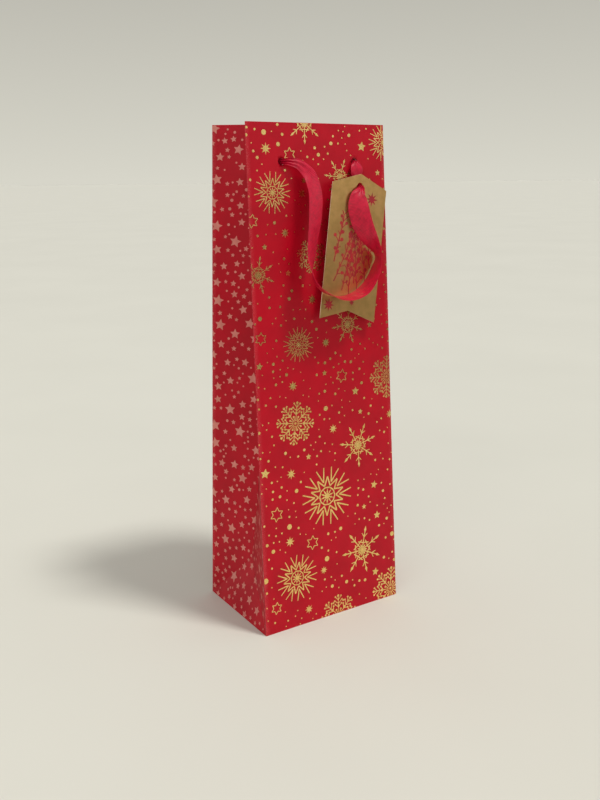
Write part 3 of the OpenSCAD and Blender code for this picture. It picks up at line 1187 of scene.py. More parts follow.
def scatter(placed: Sequence[Placed], width: Point2, height: Point2, radii: Point2, tries: int, gap: float,
            kind: Motif, seed: int) -> list[Placed]:
    """Scatters small motifs over what is free of a side.

    Args:
        placed: What is there already.
        width: Lowest and highest place across.
        height: Lowest and highest place up.
        radii: Smallest and largest radius.
        tries: How many places are tried.
        gap: Free paper round each one.
        kind: The motif to scatter.
        seed: Start of the random draws.

    Returns:
        The new motifs.
    """
    draw = random.Random(seed)
    taken = [(p.across, p.up, p.radius) for p in placed]
    found = []
    for _ in range(tries):
        across, up = draw.uniform(*width), draw.uniform(*height)
        radius = radii[0] + (radii[1] - radii[0]) * draw.random() ** 1.7
        turn = draw.uniform(-14, 14)
        if all(math.hypot(across - x, up - y) > r + radius + gap for x, y, r in taken):
            taken.append((across, up, radius))
            found.append(Placed(kind, across, up, radius, turn))
    return found


def clip(outline: list[Point2], normal: Point2, limit: float) -> list[Point2]:
    """Cuts an outline at a straight line.

    Args:
        outline: The outline's points.
        normal: The direction in which the line limits it.
        limit: The furthest that a point may reach in that direction.

    Returns:
        What is left, which may be nothing.
    """
    kept = []
    for i, here in enumerate(outline):
        before = outline[i - 1]
        room_here = limit - (here[0] * normal[0] + here[1] * normal[1])
        room_before = limit - (before[0] * normal[0] + before[1] * normal[1])
        if (room_here >= 0) != (room_before >= 0):
            share = room_before / (room_before - room_here)
            kept.append(tuple(b + share * (h - b) for b, h in zip(before, here)))
        if room_here >= 0:
            kept.append(here)
    return kept


@dataclass
class Print:
    """The foil and ink on the outside of the bag, a thin layer that follows the paper."""

    form: BagForm
    lift: float = 0.05 * MM
    layer: float = 0.02 * MM
    overlap: float = 0.003 * MM

    def regions(self, wall: Wall) -> list[tuple[Facet, list[tuple[Point2, float]]]]:
        """The areas between the folds of a side, in millimetres.

        Args:
            wall: The side.

        Returns:
            Each area with the lines that limit it: a direction, and how far it reaches that way.
        """
        margin, fold_gap = 0.35, 0.1
        top = ((0.0, 1.0), self.form.height / MM - margin)
        bottom = ((0.0, -1.0), -margin)
        if wall in (Wall.FRONT, Wall.BACK):
            half_width = self.form.width / 2 / MM - margin
            return [(Facet.PANEL, [((1.0, 0.0), half_width), ((-1.0, 0.0), half_width), top, bottom])]
        depth, half = self.form.depth / MM, self.form.depth / 2 / MM
        return [
            (Facet.FRONT_HALF, [((-1.0, 0.0), -margin), ((1.0, 0.0), half - fold_gap),
                                ((1.0, -1.0), -fold_gap), top]),
            (Facet.REAR_HALF, [((1.0, 0.0), depth - margin), ((-1.0, 0.0), -half - fold_gap),
                               ((-1.0, -1.0), -depth - fold_gap), top]),
            (Facet.TRIANGLE, [((-1.0, 1.0), -fold_gap), ((1.0, 1.0), depth - fold_gap), bottom]),
        ]

    def stamp(self, name: str, wall: Wall, motifs: Sequence[Placed], material: bpy.types.Material,
              holes: Sequence[Point2] = ()) -> None:
        """Prints motifs on a side.

        Args:
            name: The piece's name.
            wall: The side.
            motifs: What to print.
            material: Its finish.
            holes: Places of the handle holes, in millimetres, where nothing is printed.
        """
        draft = Draft()
        for motif in motifs:
            for k, outline in enumerate(motif.outlines()):
                if any(math.hypot(x - hx, y - hy) < 3.4 for x, y in outline for hx, hy in holes):
                    continue
                for facet, limits in self.regions(wall):
                    whole = all(x * a + y * b <= limit for (a, b), limit in limits for x, y in outline)
                    for part in [outline] if whole else motif.convex_parts(outline):
                        self.add_outline(draft, wall, facet, part, limits, self.lift + k % 8 * self.overlap)
        piece = draft.make(name, [material])
        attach(piece, "bag")
        log.info("%s: %d motifs", name, len(motifs))

    def add_outline(self, draft: Draft, wall: Wall, facet: Facet, outline: list[Point2],
                    limits: Sequence[tuple[Point2, float]], lift: float) -> None:
        """Cuts an outline to one area and lays it on the paper.

        Args:
            draft: The print so far.
            wall: The side.
            facet: The area.
            outline: The outline, in millimetres.
            limits: The lines that limit the area.
            lift: Height of the layer's underside over the paper.
        """
        for normal, limit in limits:
            outline = clip(outline, normal, limit)
            if len(outline) < 3:
                return
        places = [(x * MM, y * MM) for x, y in outline]
        area = sum(a[0] * b[1] - b[0] * a[1] for a, b in zip(places, places[1:] + places[:1])) / 2
        if abs(area) < 0.02 * MM * MM:
            return
        if area < 0:
            places.reverse()
        upper, lower = [], []
        for across, up in places:
            base = self.form.bare_point(wall, facet, across, up)
            normal = self.form.normal(wall, facet, across, up)
            out = self.form.swell(wall, facet, across, up) + lift
            upper.append(base + normal * (out + self.layer))
            lower.append(base + normal * out)
        if wall in (Wall.LEFT, Wall.RIGHT):
            upper.reverse()
            lower.reverse()
        draft.add_prism(upper, lower)


# --- The folded sheet ---


@dataclass
class PaperBody:
    """The one folded sheet of the bag, and what is turned over or glued inside it."""

    form: BagForm
    finishes: Finishes
    hole_diameter: float = 5 * MM
    fold_radius: float = 0.3 * MM
    cell: float = 3.5 * MM
    row_height: float = 4.5 * MM
    hem_drop: float = 38 * MM
    card: float = 0.8 * MM
    card_inset: float = 6 * MM
    glue: float = 0.1 * MM

    def half_steps(self) -> list[float]:
        """Places from a fold to the middle crease of a gusset, which the rows of the base follow too.

        Returns:
            Distances from the fold.
        """
        half = self.form.depth / 2
        count = round(half / self.cell)
        return [half * i / count for i in range(count + 1)]

    def rows(self) -> list[float]:
        """Heights of the sheet's rows.

        Returns:
            Distances up the paper.
        """
        start = self.form.depth / 2
        stop = self.form.height - self.paper_rim
        count = round((stop - start) / self.row_height)
        return self.half_steps() + [start + (stop - start) * i / count for i in range(1, count + 1)]

    @property
    def paper_rim(self) -> float:
        """Height of the rounded rim of the cut edge."""
        return self.form.paper * 0.3

    def columns(self) -> list[tuple[Wall, float]]:
        """Places round the sheet, anticlockwise from above, from the front's left fold.

        Returns:
            The side of each place and its distance across.
        """
        half_width = self.form.width / 2
        inner = self.fold_radius
        count = round(self.form.width / self.cell)
        panel = [-half_width + self.form.width * i / count for i in range(1, count)]
        panel = [-half_width, -half_width + inner, *panel, half_width - inner]
        half = sorted([*self.half_steps(), inner])
        gusset = half + [self.form.depth - x for x in half[-2::-1]]
        return ([(Wall.FRONT, x) for x in panel] + [(Wall.RIGHT, x) for x in gusset[:-1]]
                + [(Wall.BACK, x) for x in panel] + [(Wall.LEFT, x) for x in gusset[:0:-1]])

    def corner(self, wall: Wall, across: float) -> list[tuple[Wall, float]]:
        """The places on both sides of a corner fold, or just the place itself.

        Args:
            wall: The side of the bag.
            across: Distance across the paper.

        Returns:
            One place, or two on a corner fold.
        """
        half_width = self.form.width / 2
        folds = {
            (Wall.FRONT, -1): (Wall.LEFT, 0.0), (Wall.RIGHT, -1): (Wall.FRONT, half_width),
            (Wall.BACK, -1): (Wall.RIGHT, self.form.depth), (Wall.LEFT, 1): (Wall.BACK, half_width),
        }
        if wall in (Wall.FRONT, Wall.BACK) and across < -half_width + NEAR:
            return [(wall, across), folds[(wall, -1)]]
        if wall is Wall.RIGHT and across < NEAR:
            return [(wall, across), folds[(wall, -1)]]
        if wall is Wall.LEFT and across > self.form.depth - NEAR:
            return [(wall, across), folds[(wall, 1)]]
        return [(wall, across)]

    def skin(self, wall: Wall, across: float, up: float) -> tuple[Vector, Vector, float]:
        """The two faces of the sheet at a place.

        Args:
            wall: The side of the bag.
            across: Distance across the paper.
            up: Distance up the paper.

        Returns:
            The outer point, the inner point, and how near they are to a fold, from 0 to 1.
        """
        form = self.form
        sides = self.corner(wall, across)
        facets = [(w, x, facet) for w, x in sides for facet in form.facets(w, x, up)]
        base = form.bare_point(wall, form.facets(wall, across, up)[0], across, up)
        if len(sides) > 1:
            normals = [form.normal(w, facet, x, up) for w, x, facet in facets]
            bisector = (normals[0] + normals[-1]).normalized()
            half_angle = math.acos(max(-1.0, min(1.0, -normals[0].dot(normals[-1])))) / 2
            inset = self.fold_radius * (1 - math.sin(half_angle)) / max(0.2, math.cos(half_angle))
            return base - bisector * inset, base + mitre(normals, -form.paper), 1.0
        outer = form.point(wall, across, up)
        on_panel = wall in (Wall.FRONT, Wall.BACK)
        spread = form.width if on_panel else form.depth
        start = -form.width / 2 if on_panel else 0.0
        for fold, direction in ((start, 1), (start + spread, -1)):
            if abs(across - fold) < self.fold_radius + NEAR:
                mitred = self.skin_fold(wall, fold, up)
                along = (form.point(wall, across + direction * 5 * MM, up) - outer).normalized()
                return outer, mitred + along * 0.04 * MM, 0.6
        return outer, form.point(wall, across, up, -form.paper), 0.0

    def skin_fold(self, wall: Wall, fold: float, up: float) -> Vector:
        """The inner point of the sheet at the corner fold that ends a side.

        Args:
            wall: The side of the bag.
            fold: Distance across to the fold.
            up: Distance up the paper.

        Returns:
            The point.
        """
        form = self.form
        half_width = form.width / 2
        if wall in (Wall.FRONT, Wall.BACK):
            left = (wall is Wall.FRONT) == (fold < 0)
            other = (Wall.LEFT if left else Wall.RIGHT, 0.0 if wall is Wall.FRONT else form.depth)
        else:
            front = fold < form.depth / 2
            outer_edge = -half_width if (wall is Wall.LEFT) == front else half_width
            other = (Wall.FRONT if front else Wall.BACK, outer_edge)
        sides = [(wall, fold), other]
        normals = [form.normal(w, facet, x, up) for w, x in sides for facet in form.facets(w, x, up)]
        base = form.bare_point(wall, form.facets(wall, fold, up)[0], fold, up)
        return base + mitre(normals, -form.paper)

    def build_wrap(self) -> None:
        """The folded sheet: red outside, white inside, open at the top and the bottom."""
        columns, rows = self.columns(), self.rows()
        draft = Draft()
        outer, inner, folds = [], [], []
        skins = [[self.skin(wall, across, up) for wall, across in columns] for up in rows]
        for ring in skins:
            outer.append(draft.add_points(point for point, _, _ in ring))
            folds.extend(fold for _, _, fold in ring)
        for ring in skins:
            inner.append(draft.add_points(point for _, point, _ in ring))
            folds.extend(0.0 for _ in ring)
        rim_rows = []
        ring = [self.skin(wall, across, self.form.height) for wall, across in columns]
        for share in (0.3, 0.7):
            rim_rows.append(draft.add_points(near.lerp(far, share) for near, far, _ in ring))
            folds.extend(0.5 for _ in ring)
        count = len(columns)
        for j in range(len(rows) - 1):
            for i in range(count):
                k = (i + 1) % count
                self.add_cell(draft, outer, i, k, j, columns, rows, paint=0)
                self.add_cell(draft, inner, i, k, j, columns, rows, paint=1)
        bands = [(outer[-1], rim_rows[0]), (rim_rows[0], rim_rows[1]), (rim_rows[1], inner[-1]),
                 (inner[0], outer[0])]
        for number, (low, high) in enumerate(bands):
            for i in range(count):
                k = (i + 1) % count
                draft.add_face((low[i], low[k], high[k], high[i]), paint=1 if number == 3 else 0)
        piece = draft.make("bag_wrap", [self.finishes["coated_red_paper"], self.finishes["white_paper"]], 12)
        attribute = piece.data.attributes.new("fold", "FLOAT", "POINT")
        attribute.data.foreach_set("value", folds)
        self.punch_handles(piece)
        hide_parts("front_panel", "back_panel", *(
            f"{side}_gusset_{part}" for side in ("left", "right")
            for part in ("front_half", "rear_half", "base_triangle")))
        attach(piece, "bag")
        log.info("bag_wrap: %d columns, %d rows", count, len(rows))

    def add_cell(self, draft: Draft, grid: list[list[int]], i: int, k: int, j: int,
                 columns: Sequence[tuple[Wall, float]], rows: Sequence[float], paint: int) -> None:
        """Adds one cell of the sheet, split along a base triangle's fold where one crosses it.

        Args:
            draft: The sheet so far.
            grid: Indices of its points, by row and column.
            i: The cell's first column.
            k: Its second column.
            j: The cell's lower row.
            columns: Places of the columns.
            rows: Heights of the rows.
            paint: 0 on the outer face and 1 on the inner face.
        """
        corners = [grid[j][i], grid[j][k], grid[j + 1][k], grid[j + 1][i]]
        if paint == 1:
            corners.reverse()
            corners = corners[-1:] + corners[:-1]
        wall, across = columns[i]
        next_wall, next_across = columns[k]
        low, high = rows[j], rows[j + 1]
        if wall in (Wall.LEFT, Wall.RIGHT) or next_wall in (Wall.LEFT, Wall.RIGHT):
            places = [self.from_fold(wall, across), self.from_fold(next_wall, next_across)]
            near, far = sorted(places)
            if abs(near - low) < self.fold_radius + 1e-6 and abs(far - high) < 1e-6:
                rising = places[0] < places[1]
                a, b, c, d = [grid[j][i], grid[j][k], grid[j + 1][k], grid[j + 1][i]]
                halves = [(a, b, c), (a, c, d)] if rising else [(a, b, d), (b, c, d)]
                for half in halves:
                    draft.add_face(half if paint == 0 else half[::-1], paint)
                return
        draft.add_face(corners, paint)

    def from_fold(self, wall: Wall, across: float) -> float:
        """Distance from the nearer corner fold, for a place on a gusset or on the fold itself.

        Args:
            wall: The side of the bag.
            across: Distance across the paper.

        Returns:
            The distance.
        """
        if wall in (Wall.FRONT, Wall.BACK):
            return self.form.width / 2 - abs(across)
        return min(across, self.form.depth - across)

    def hole_places(self) -> list[Point2]:
        """Places of the handle holes on a panel, across and up."""
        up = self.form.height - self.form.hole_drop
        return [(side * self.form.hole_spacing / 2, up) for side in (-1, 1)]

    def punch_handles(self, piece: bpy.types.Object, walls: Sequence[Wall] = (Wall.FRONT, Wall.BACK)) -> None:
        """Punches the handle holes through a sheet.

        Args:
            piece: The sheet to punch.
            walls: The panels that it covers.
        """
        for wall in walls:
            centres = [self.form.point(wall, across, up, -0.8 * MM) for across, up in self.hole_places()]
            axis = self.form.normal(wall, Facet.PANEL, 0, self.form.height / 2)
            punch(piece, centres, axis, self.hole_diameter, 6 * MM)

    def sweep(self, name: str, wall: Wall, places: Sequence[float], section: Sequence[Point2], material: str,
              nodes: Sequence[str]) -> bpy.types.Object:
        """Sweeps a section across a side of the bag.

        Args:
            name: The piece's name.
            wall: The side it lies on.
            places: Places across the side.
            section: The section's outline: depth under the outer face, and height.
            material: The finish's name.
            nodes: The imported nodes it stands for.

        Returns:
            The piece.
        """
        rings = [[self.form.point(wall, across, up, -depth) for depth, up in section] for across in places]
        draft = Draft()
        draft.add_tube(rings)
        piece = draft.make(name, [self.finishes[material]])
        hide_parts(*nodes)
        log.info("%s: %d rings", name, len(rings))
        return piece

    def hem_section(self, stack: float) -> list[Point2]:
        """The outline of the paper turned over the rim and down inside.

        Args:
            stack: Thickness of the card or glue under it.

        Returns:
            Depth under the outer face, and height, of each point.
        """
        paper, top = self.form.paper, self.form.height
        back = paper + stack
        low = top - self.hem_drop
        rows = [low + (top - 0.6 * MM - low) * i / 8 for i in range(9)]
        face = [(back + paper, up) for up in reversed(rows)]
        hidden = [(back, up) for up in rows[:-1]]
        rim = [(paper, top + 0.02 * MM), (back, top + 0.02 * MM), (back + 0.7 * paper, top - 0.15 * MM)]
        return rim + face + hidden + [(back, top - paper), (paper, top - paper)]

    def build_hems(self) -> None:
        """The paper turned over inside the mouth, on all four sides."""
        half_width = self.form.width / 2 - self.card_inset
        count = 28
        panel = [-half_width + 2 * half_width * i / count for i in range(count + 1)]
        for wall, name in ((Wall.FRONT, "front_hem"), (Wall.BACK, "back_hem")):
            piece = self.sweep(f"{name}_turnover", wall, panel, self.hem_section(self.card),
                               "coated_red_paper", [name])
            self.punch_handles(piece, [wall])
            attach(piece, "bag")
        depth = self.form.depth
        steps = [self.card_inset + (depth / 2 - self.card_inset) * i / 9 for i in range(10)]
        gusset = steps + [depth - x for x in steps[-2::-1]]
        for wall, name in ((Wall.LEFT, "left_gusset_hem"), (Wall.RIGHT, "right_gusset_hem")):
            piece = self.sweep(f"{name}_turnover", wall, gusset, self.hem_section(self.glue),
                               "coated_red_paper", [name])
            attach(piece, "bag")

    def build_seam(self) -> None:
        """The glued flap of the side seam, inside the back panel, which follows the panel's curve."""
        low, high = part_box("side_seam_flap")
        foot, head = low.z / math.cos(self.form.lean), high.z / math.cos(self.form.lean)
        rows = [foot + (head - foot) * i / 40 for i in range(41)]
        paper = self.form.paper
        section = [(paper + 0.02 * MM, up) for up in rows] + [(2 * paper, up) for up in reversed(rows)]
        places = [-high.x + (high.x - low.x) * i / 6 for i in range(7)]
        piece = self.sweep("side_seam_glue_flap", Wall.BACK, places, section, "white_paper",
                           ["side_seam_flap"])
        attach(piece, "bag")

    def dress_cards(self) -> None:
        """Finishes of the nodes that stay as the frame has them."""
        dress = {
            "base_outer_flap": "coated_red_paper", "base_inner_flap": "coated_red_paper",
            "left_base_tuck": "white_paper", "right_base_tuck": "white_paper", "base_card": "grey_board",
            "front_reinforcing_card": "grey_board", "back_reinforcing_card": "grey_board",
        }
        for name, finish in dress.items():
            node = frame["nodes"][name]
            node.data.materials.clear()
            node.data.materials.append(self.finishes[finish])
            log.info("%s: dressed in %s", name, finish)

    def build_print(self) -> None:
        """The foil motifs of the panels and the stars of the gussets."""
        printer = Print(self.form)
        half_width, height = self.form.width / 2 / MM, self.form.height / MM
        for wall, seed in ((Wall.FRONT, 11), (Wall.BACK, 29)):
            small = scatter(PANEL_PRINT, (-half_width, half_width), (1, height - 1), (0.45, 1.2), 2200, 2.9,
                            Motif.DOT, seed)
            holes = [(x / MM, y / MM) for x, y in self.hole_places()]
            printer.stamp(f"{wall.value}_panel_foil", wall, [*PANEL_PRINT, *small],
                          self.finishes["gold_foil"], holes)
        across, up = (0, self.form.depth / MM), (1, height - 2)
        for wall, seed in ((Wall.LEFT, 5), (Wall.RIGHT, 17)):
            big = scatter([], across, up, (2.9, 5.0), 1300, 3.4, Motif.STAR, seed)
            small = scatter(big, across, up, (1.5, 2.7), 1500, 1.5, Motif.STAR, seed + 1)
            dots = scatter(big + small, across, up, (0.7, 1.2), 1300, 1.2, Motif.DOT, seed + 2)
            printer.stamp(f"{wall.value}_gusset_stars", wall, [*big, *small, *dots],
                          self.finishes["rose_gold_print"])


# --- Ribbon handles ---


@dataclass(frozen=True)
class RibbonRow:
    """One row of a ribbon's route on a panel, in millimetres.

    The first three fields are its place: across the panel, below the hole line and out from the panel. The
    next is the direction across the ribbon in the same three measures, then come its width and thickness.
    """

    across: float
    drop: float
    out: float
    lie: tuple[float, float, float]
    width: float = 15.0
    thickness: float = 0.8


def ribbon_route(*rows: tuple) -> list[RibbonRow]:
    """A route from the fields of its rows."""
    return [RibbonRow(*row) for row in rows]


FRONT_LEFT_ROUTE = ribbon_route(
    (-31, 0, -1.6, (0, 1, 0), 3.4, 2), (-31, 0, 0.8, (0, 1, 0), 3.4, 2), (-26, 0, 3, (0, 1, 0), 5.5, 1.4),
    (-19.5, 2, 5, (-0.2, 1, 0.1), 7.5, 1), (-14, 7, 6.5, (-0.8, 1, 0.2), 10),
    (-11, 13, 8, (-1, 0.4, 0.3), 13), (-9.5, 22.5, 9.6, (-0.94, 0, 0.33)),
)
FRONT_LOOP_ROUTE = ribbon_route(
    (-10.5, 30.5, 11, (-0.94, 0, 0.34)), (-12.5, 42, 12.4, (-0.92, 0, 0.4)),
    (-15, 53, 13, (-0.87, 0, 0.5)), (-17.5, 66, 14, (-0.8, 0, 0.6)), (-18, 77, 15, (-0.5, 0.1, 0.85)),
    (-14, 86, 15.6, (-0.25, 0.15, 1)), (-6, 92.5, 16, (0, 0.15, 1)), (3.5, 96, 16, (0, 0.15, 1)),
    (14, 96, 16, (0, 0.15, 1)), (23.5, 92.5, 16, (0, 0.15, 1)), (30.5, 86, 16, (-0.1, 0.1, 1)),
    (36, 77, 15.5, (-0.15, 0, 0.97)), (38.5, 68.5, 15.3, (-0.28, 0, 0.95), 14, 1.2),
    (35.5, 60.5, 14.6, (0.35, 0, 0.9), 12, 2.2), (31.5, 54, 14, (0.75, 0, 0.65), 13, 2),
    (27, 44.5, 13.4, (0.85, 0, 0.5)), (24.5, 33.5, 12.8, (0.85, 0, 0.48)),
    (25.5, 25.5, 11.8, (0.9, 0, 0.35), 12), (28.5, 21, 10.4, (1, 0, 0.2), 7, 1.2),
)
FRONT_RIGHT_ROUTE = ribbon_route(
    (31, 0, -1.6, (1, 0, 0), 3.4, 2), (31, 0, 0.8, (1, 0, 0), 3.4, 2), (31, 1, 2.2, (1, 0, 0), 7, 1.2),
    (31, 4, 3.2, (1, 0, 0), 10), (30.8, 8, 3.4, (1, 0, 0), 10), (30.5, 12, 3.4, (1, 0, 0), 7, 1.2),
    (30.5, 16, 3.6, (1, 0, 0), 3.6, 1.4), (30.5, 18, 5, (1, 0, 0), 3, 1.8),
    (30.5, 18, 8.4, (1, 0, 0), 3, 1.8), (30.2, 19, 9.6, (1, 0, 0), 4, 1.4),
)
BACK_LEG_ROUTE = ribbon_route(
    (-31, 0, -1.6, (1, 0, 0), 3.4, 2), (-31, 0, 0.8, (1, 0, 0), 3.4, 2), (-31, 2, 3.2, (1, 0, 0), 7, 1.2),
    (-30.7, 7, 5.6, (1, 0, 0), 11), (-30.3, 14, 7.8, (1, 0, 0), 14), (-30, 20.5, 9.6, (1, 0, 0)),
)
BACK_HALF_LOOP_ROUTE = ribbon_route(
    (-30, 25.5, 11.2, (1, 0, 0)), (-29.5, 35, 12.4, (1, 0, -0.1)), (-29, 46, 13.6, (1, 0, -0.4)),
    (-28.6, 57, 14.8, (0.8, 0, -0.6)), (-28.2, 68, 15.6, (0.6, 0, -0.8)), (-27.5, 79, 16.2, (0.4, 0, -1)),
    (-26, 90, 16.6, (0.2, 0, -1)), (-23, 100, 17, (0, 0, -1)), (-18, 109, 17.2, (0, 0, -1)),
    (-11, 115, 17.4, (0, 0, -1)), (-4, 117.5, 17.5, (0, 0, -1)),
)


def mirrored(route: Sequence[RibbonRow]) -> list[RibbonRow]:
    """The other half of a route that is the same on both sides, in the order that goes on from it."""
    return [RibbonRow(-r.across, r.drop, r.out, (-r.lie[0], *r.lie[1:]), r.width, r.thickness)
            for r in reversed(route)]


@dataclass(frozen=True)
class RibbonRing:
    """The ribbon at one point of its route: its middle, its three directions, width and thickness."""

    centre: Vector
    along: Vector
    across: Vector
    out: Vector
    width: float
    thickness: float
    run: float


def mark_weave(piece: bpy.types.Object, lies: Sequence[tuple[float, float, float]]) -> None:
    """Stores where each point of a piece lies on the woven ribbon, for its finish.

    Args:
        piece: The piece of ribbon.
        lies: Each point's place along and across the ribbon, in millimetres.
    """
    weave = piece.data.attributes.new("weave", "FLOAT_VECTOR", "POINT")
    weave.data.foreach_set("vector", [x for lie in lies for x in lie])


@dataclass
class RibbonHandle:
    """A ribbon handle: one ribbon from a knot inside the bag, out, down, round and in to the other knot."""

    form: BagForm
    finishes: Finishes
    wall: Wall
    route: Sequence[RibbonRow]
    nodes: Sequence[str]
    woven_width: float = 15 * MM
    sheet: float = 0.3 * MM
    step: float = 1.1 * MM
    points_across: int = 18
    bend_from: float = 20 * MM
    bend_to: float = 42 * MM

    @property
    def name(self) -> str:
        """The piece's name."""
        return f"{self.wall.value}_ribbon"

    @property
    def body(self) -> str:
        """A name for the handle's body, from the side of the bag."""
        return f"{self.wall.value}_handle"

    def on_panel(self, across: float, drop: float, out: float) -> Vector:
        """A place on the panel or off it.

        Args:
            across: Distance across the panel.
            drop: Distance below the hole line.
            out: Distance out from the panel.

        Returns:
            The point.
        """
        facet = Facet.PANEL
        up = self.form.height - self.form.hole_drop - drop
        base = self.form.bare_point(self.wall, facet, across, up)
        return base + self.form.normal(self.wall, facet, across, up) * out

    def turn_on_panel(self, lie: tuple[float, float, float]) -> Vector:
        """A direction from its three measures on the panel."""
        return (self.on_panel(*(x * MM for x in lie)) - self.on_panel(0, 0, 0)).normalized()

    def rings(self) -> list[RibbonRing]:
        """The ribbon's rings, close together on a smooth line through the route's points.

        Returns:
            The rings, from the first knot to the second.
        """
        rows = [[r.across * MM, r.drop * MM, r.out * MM, *r.lie, r.width * MM, r.thickness * MM]
                for r in self.route]
        for before, row in zip(rows, rows[1:]):
            if sum(before[i] * row[i] for i in (3, 4, 5)) < 0:
                row[3:6] = [-x for x in row[3:6]]
        samples = []
        for i in range(len(rows) - 1):
            p0, p1, p2, p3 = (rows[min(len(rows) - 1, max(0, i + k))] for k in (-1, 0, 1, 2))
            span = math.dist(p1[:3], p2[:3])
            count = max(1, round(span / self.step))
            for k in range(count):
                t = k / count
                samples.append([0.5 * (2 * b + (c - a) * t + (2 * a - 5 * b + 4 * c - d) * t * t
                                       + (3 * b - a - 3 * c + d) * t ** 3)
                                for a, b, c, d in zip(p0, p1, p2, p3)])
        samples.append(rows[-1])
        centres = [self.on_panel(*s[:3]) for s in samples]
        found, run = [], 0.0
        for i, sample in enumerate(samples):
            along = (centres[min(i + 1, len(centres) - 1)] - centres[max(i - 1, 0)]).normalized()
            lie = self.turn_on_panel(tuple(x / MM for x in sample[3:6]))
            across = (lie - along * lie.dot(along)).normalized()
            run += (centres[i] - centres[i - 1]).length if i else 0.0
            found.append(RibbonRing(centres[i], along, across, along.cross(across), *sample[6:], run))
        return found

    def section(self, ring: RibbonRing) -> list[tuple[Vector, float]]:
        """The ribbon's section, with the spare width in folds where it is narrower than it was woven.

        Args:
            ring: The ring.

        Returns:
            Points round it, each with its distance from the middle of the woven width.
        """
        gather = max(0.0, 1 - ring.width / self.woven_width)
        pleats = 3 * smooth(gather * 1.6)
        depth = max(0.0, ring.thickness - self.sheet) * 0.5 * smooth(gather * 3)
        ripple = 0.16 * MM * math.sin(ring.run / (7 * MM)) + 0.1 * MM * math.sin(ring.run / (3.1 * MM) + 1)
        cup = 0.5 * MM * (1 - gather)
        upper, lower = [], []
        for k in range(self.points_across + 1):
            share = k / self.points_across - 0.5
            wave = math.cos(2 * math.pi * pleats * share) * depth + cup * (4 * share * share - 0.33)
            wave += ripple * math.sin(2 * math.pi * share)
            middle = ring.centre + ring.across * share * ring.width + ring.out * wave
            rim = self.sheet / 2 * (1 if 0 < k < self.points_across else 0.55)
            woven = share * self.woven_width
            upper.append((middle + ring.out * rim, woven))
            lower.append((middle - ring.out * rim, woven))
        return upper + lower[::-1]

    def build(self, knots: Sequence[bpy.types.Object]) -> None:
        """Args:
            knots: The knots at its ends. Not used.
        """
        rings = self.rings()
        sections = [self.section(ring) for ring in rings]
        draft = Draft()
        draft.add_tube([[p for p, _ in section] for section in sections])
        piece = draft.make(self.name, [self.finishes["crimson_ribbon"]], sharp_deg=60)
        mark_weave(piece, [(ring.run / MM, woven / MM, 0.0)
                           for ring, section in zip(rings, sections) for _, woven in section])
        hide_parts(*self.nodes)
        self.body
        self.on_panel(0, self.bend_from, 11 * MM)
        self.on_panel(0, self.bend_to, 11 * MM)
        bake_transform(piece)
        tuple(rings[0].centre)
        log.info("%s: %.3f m", self.name, rings[-1].run)


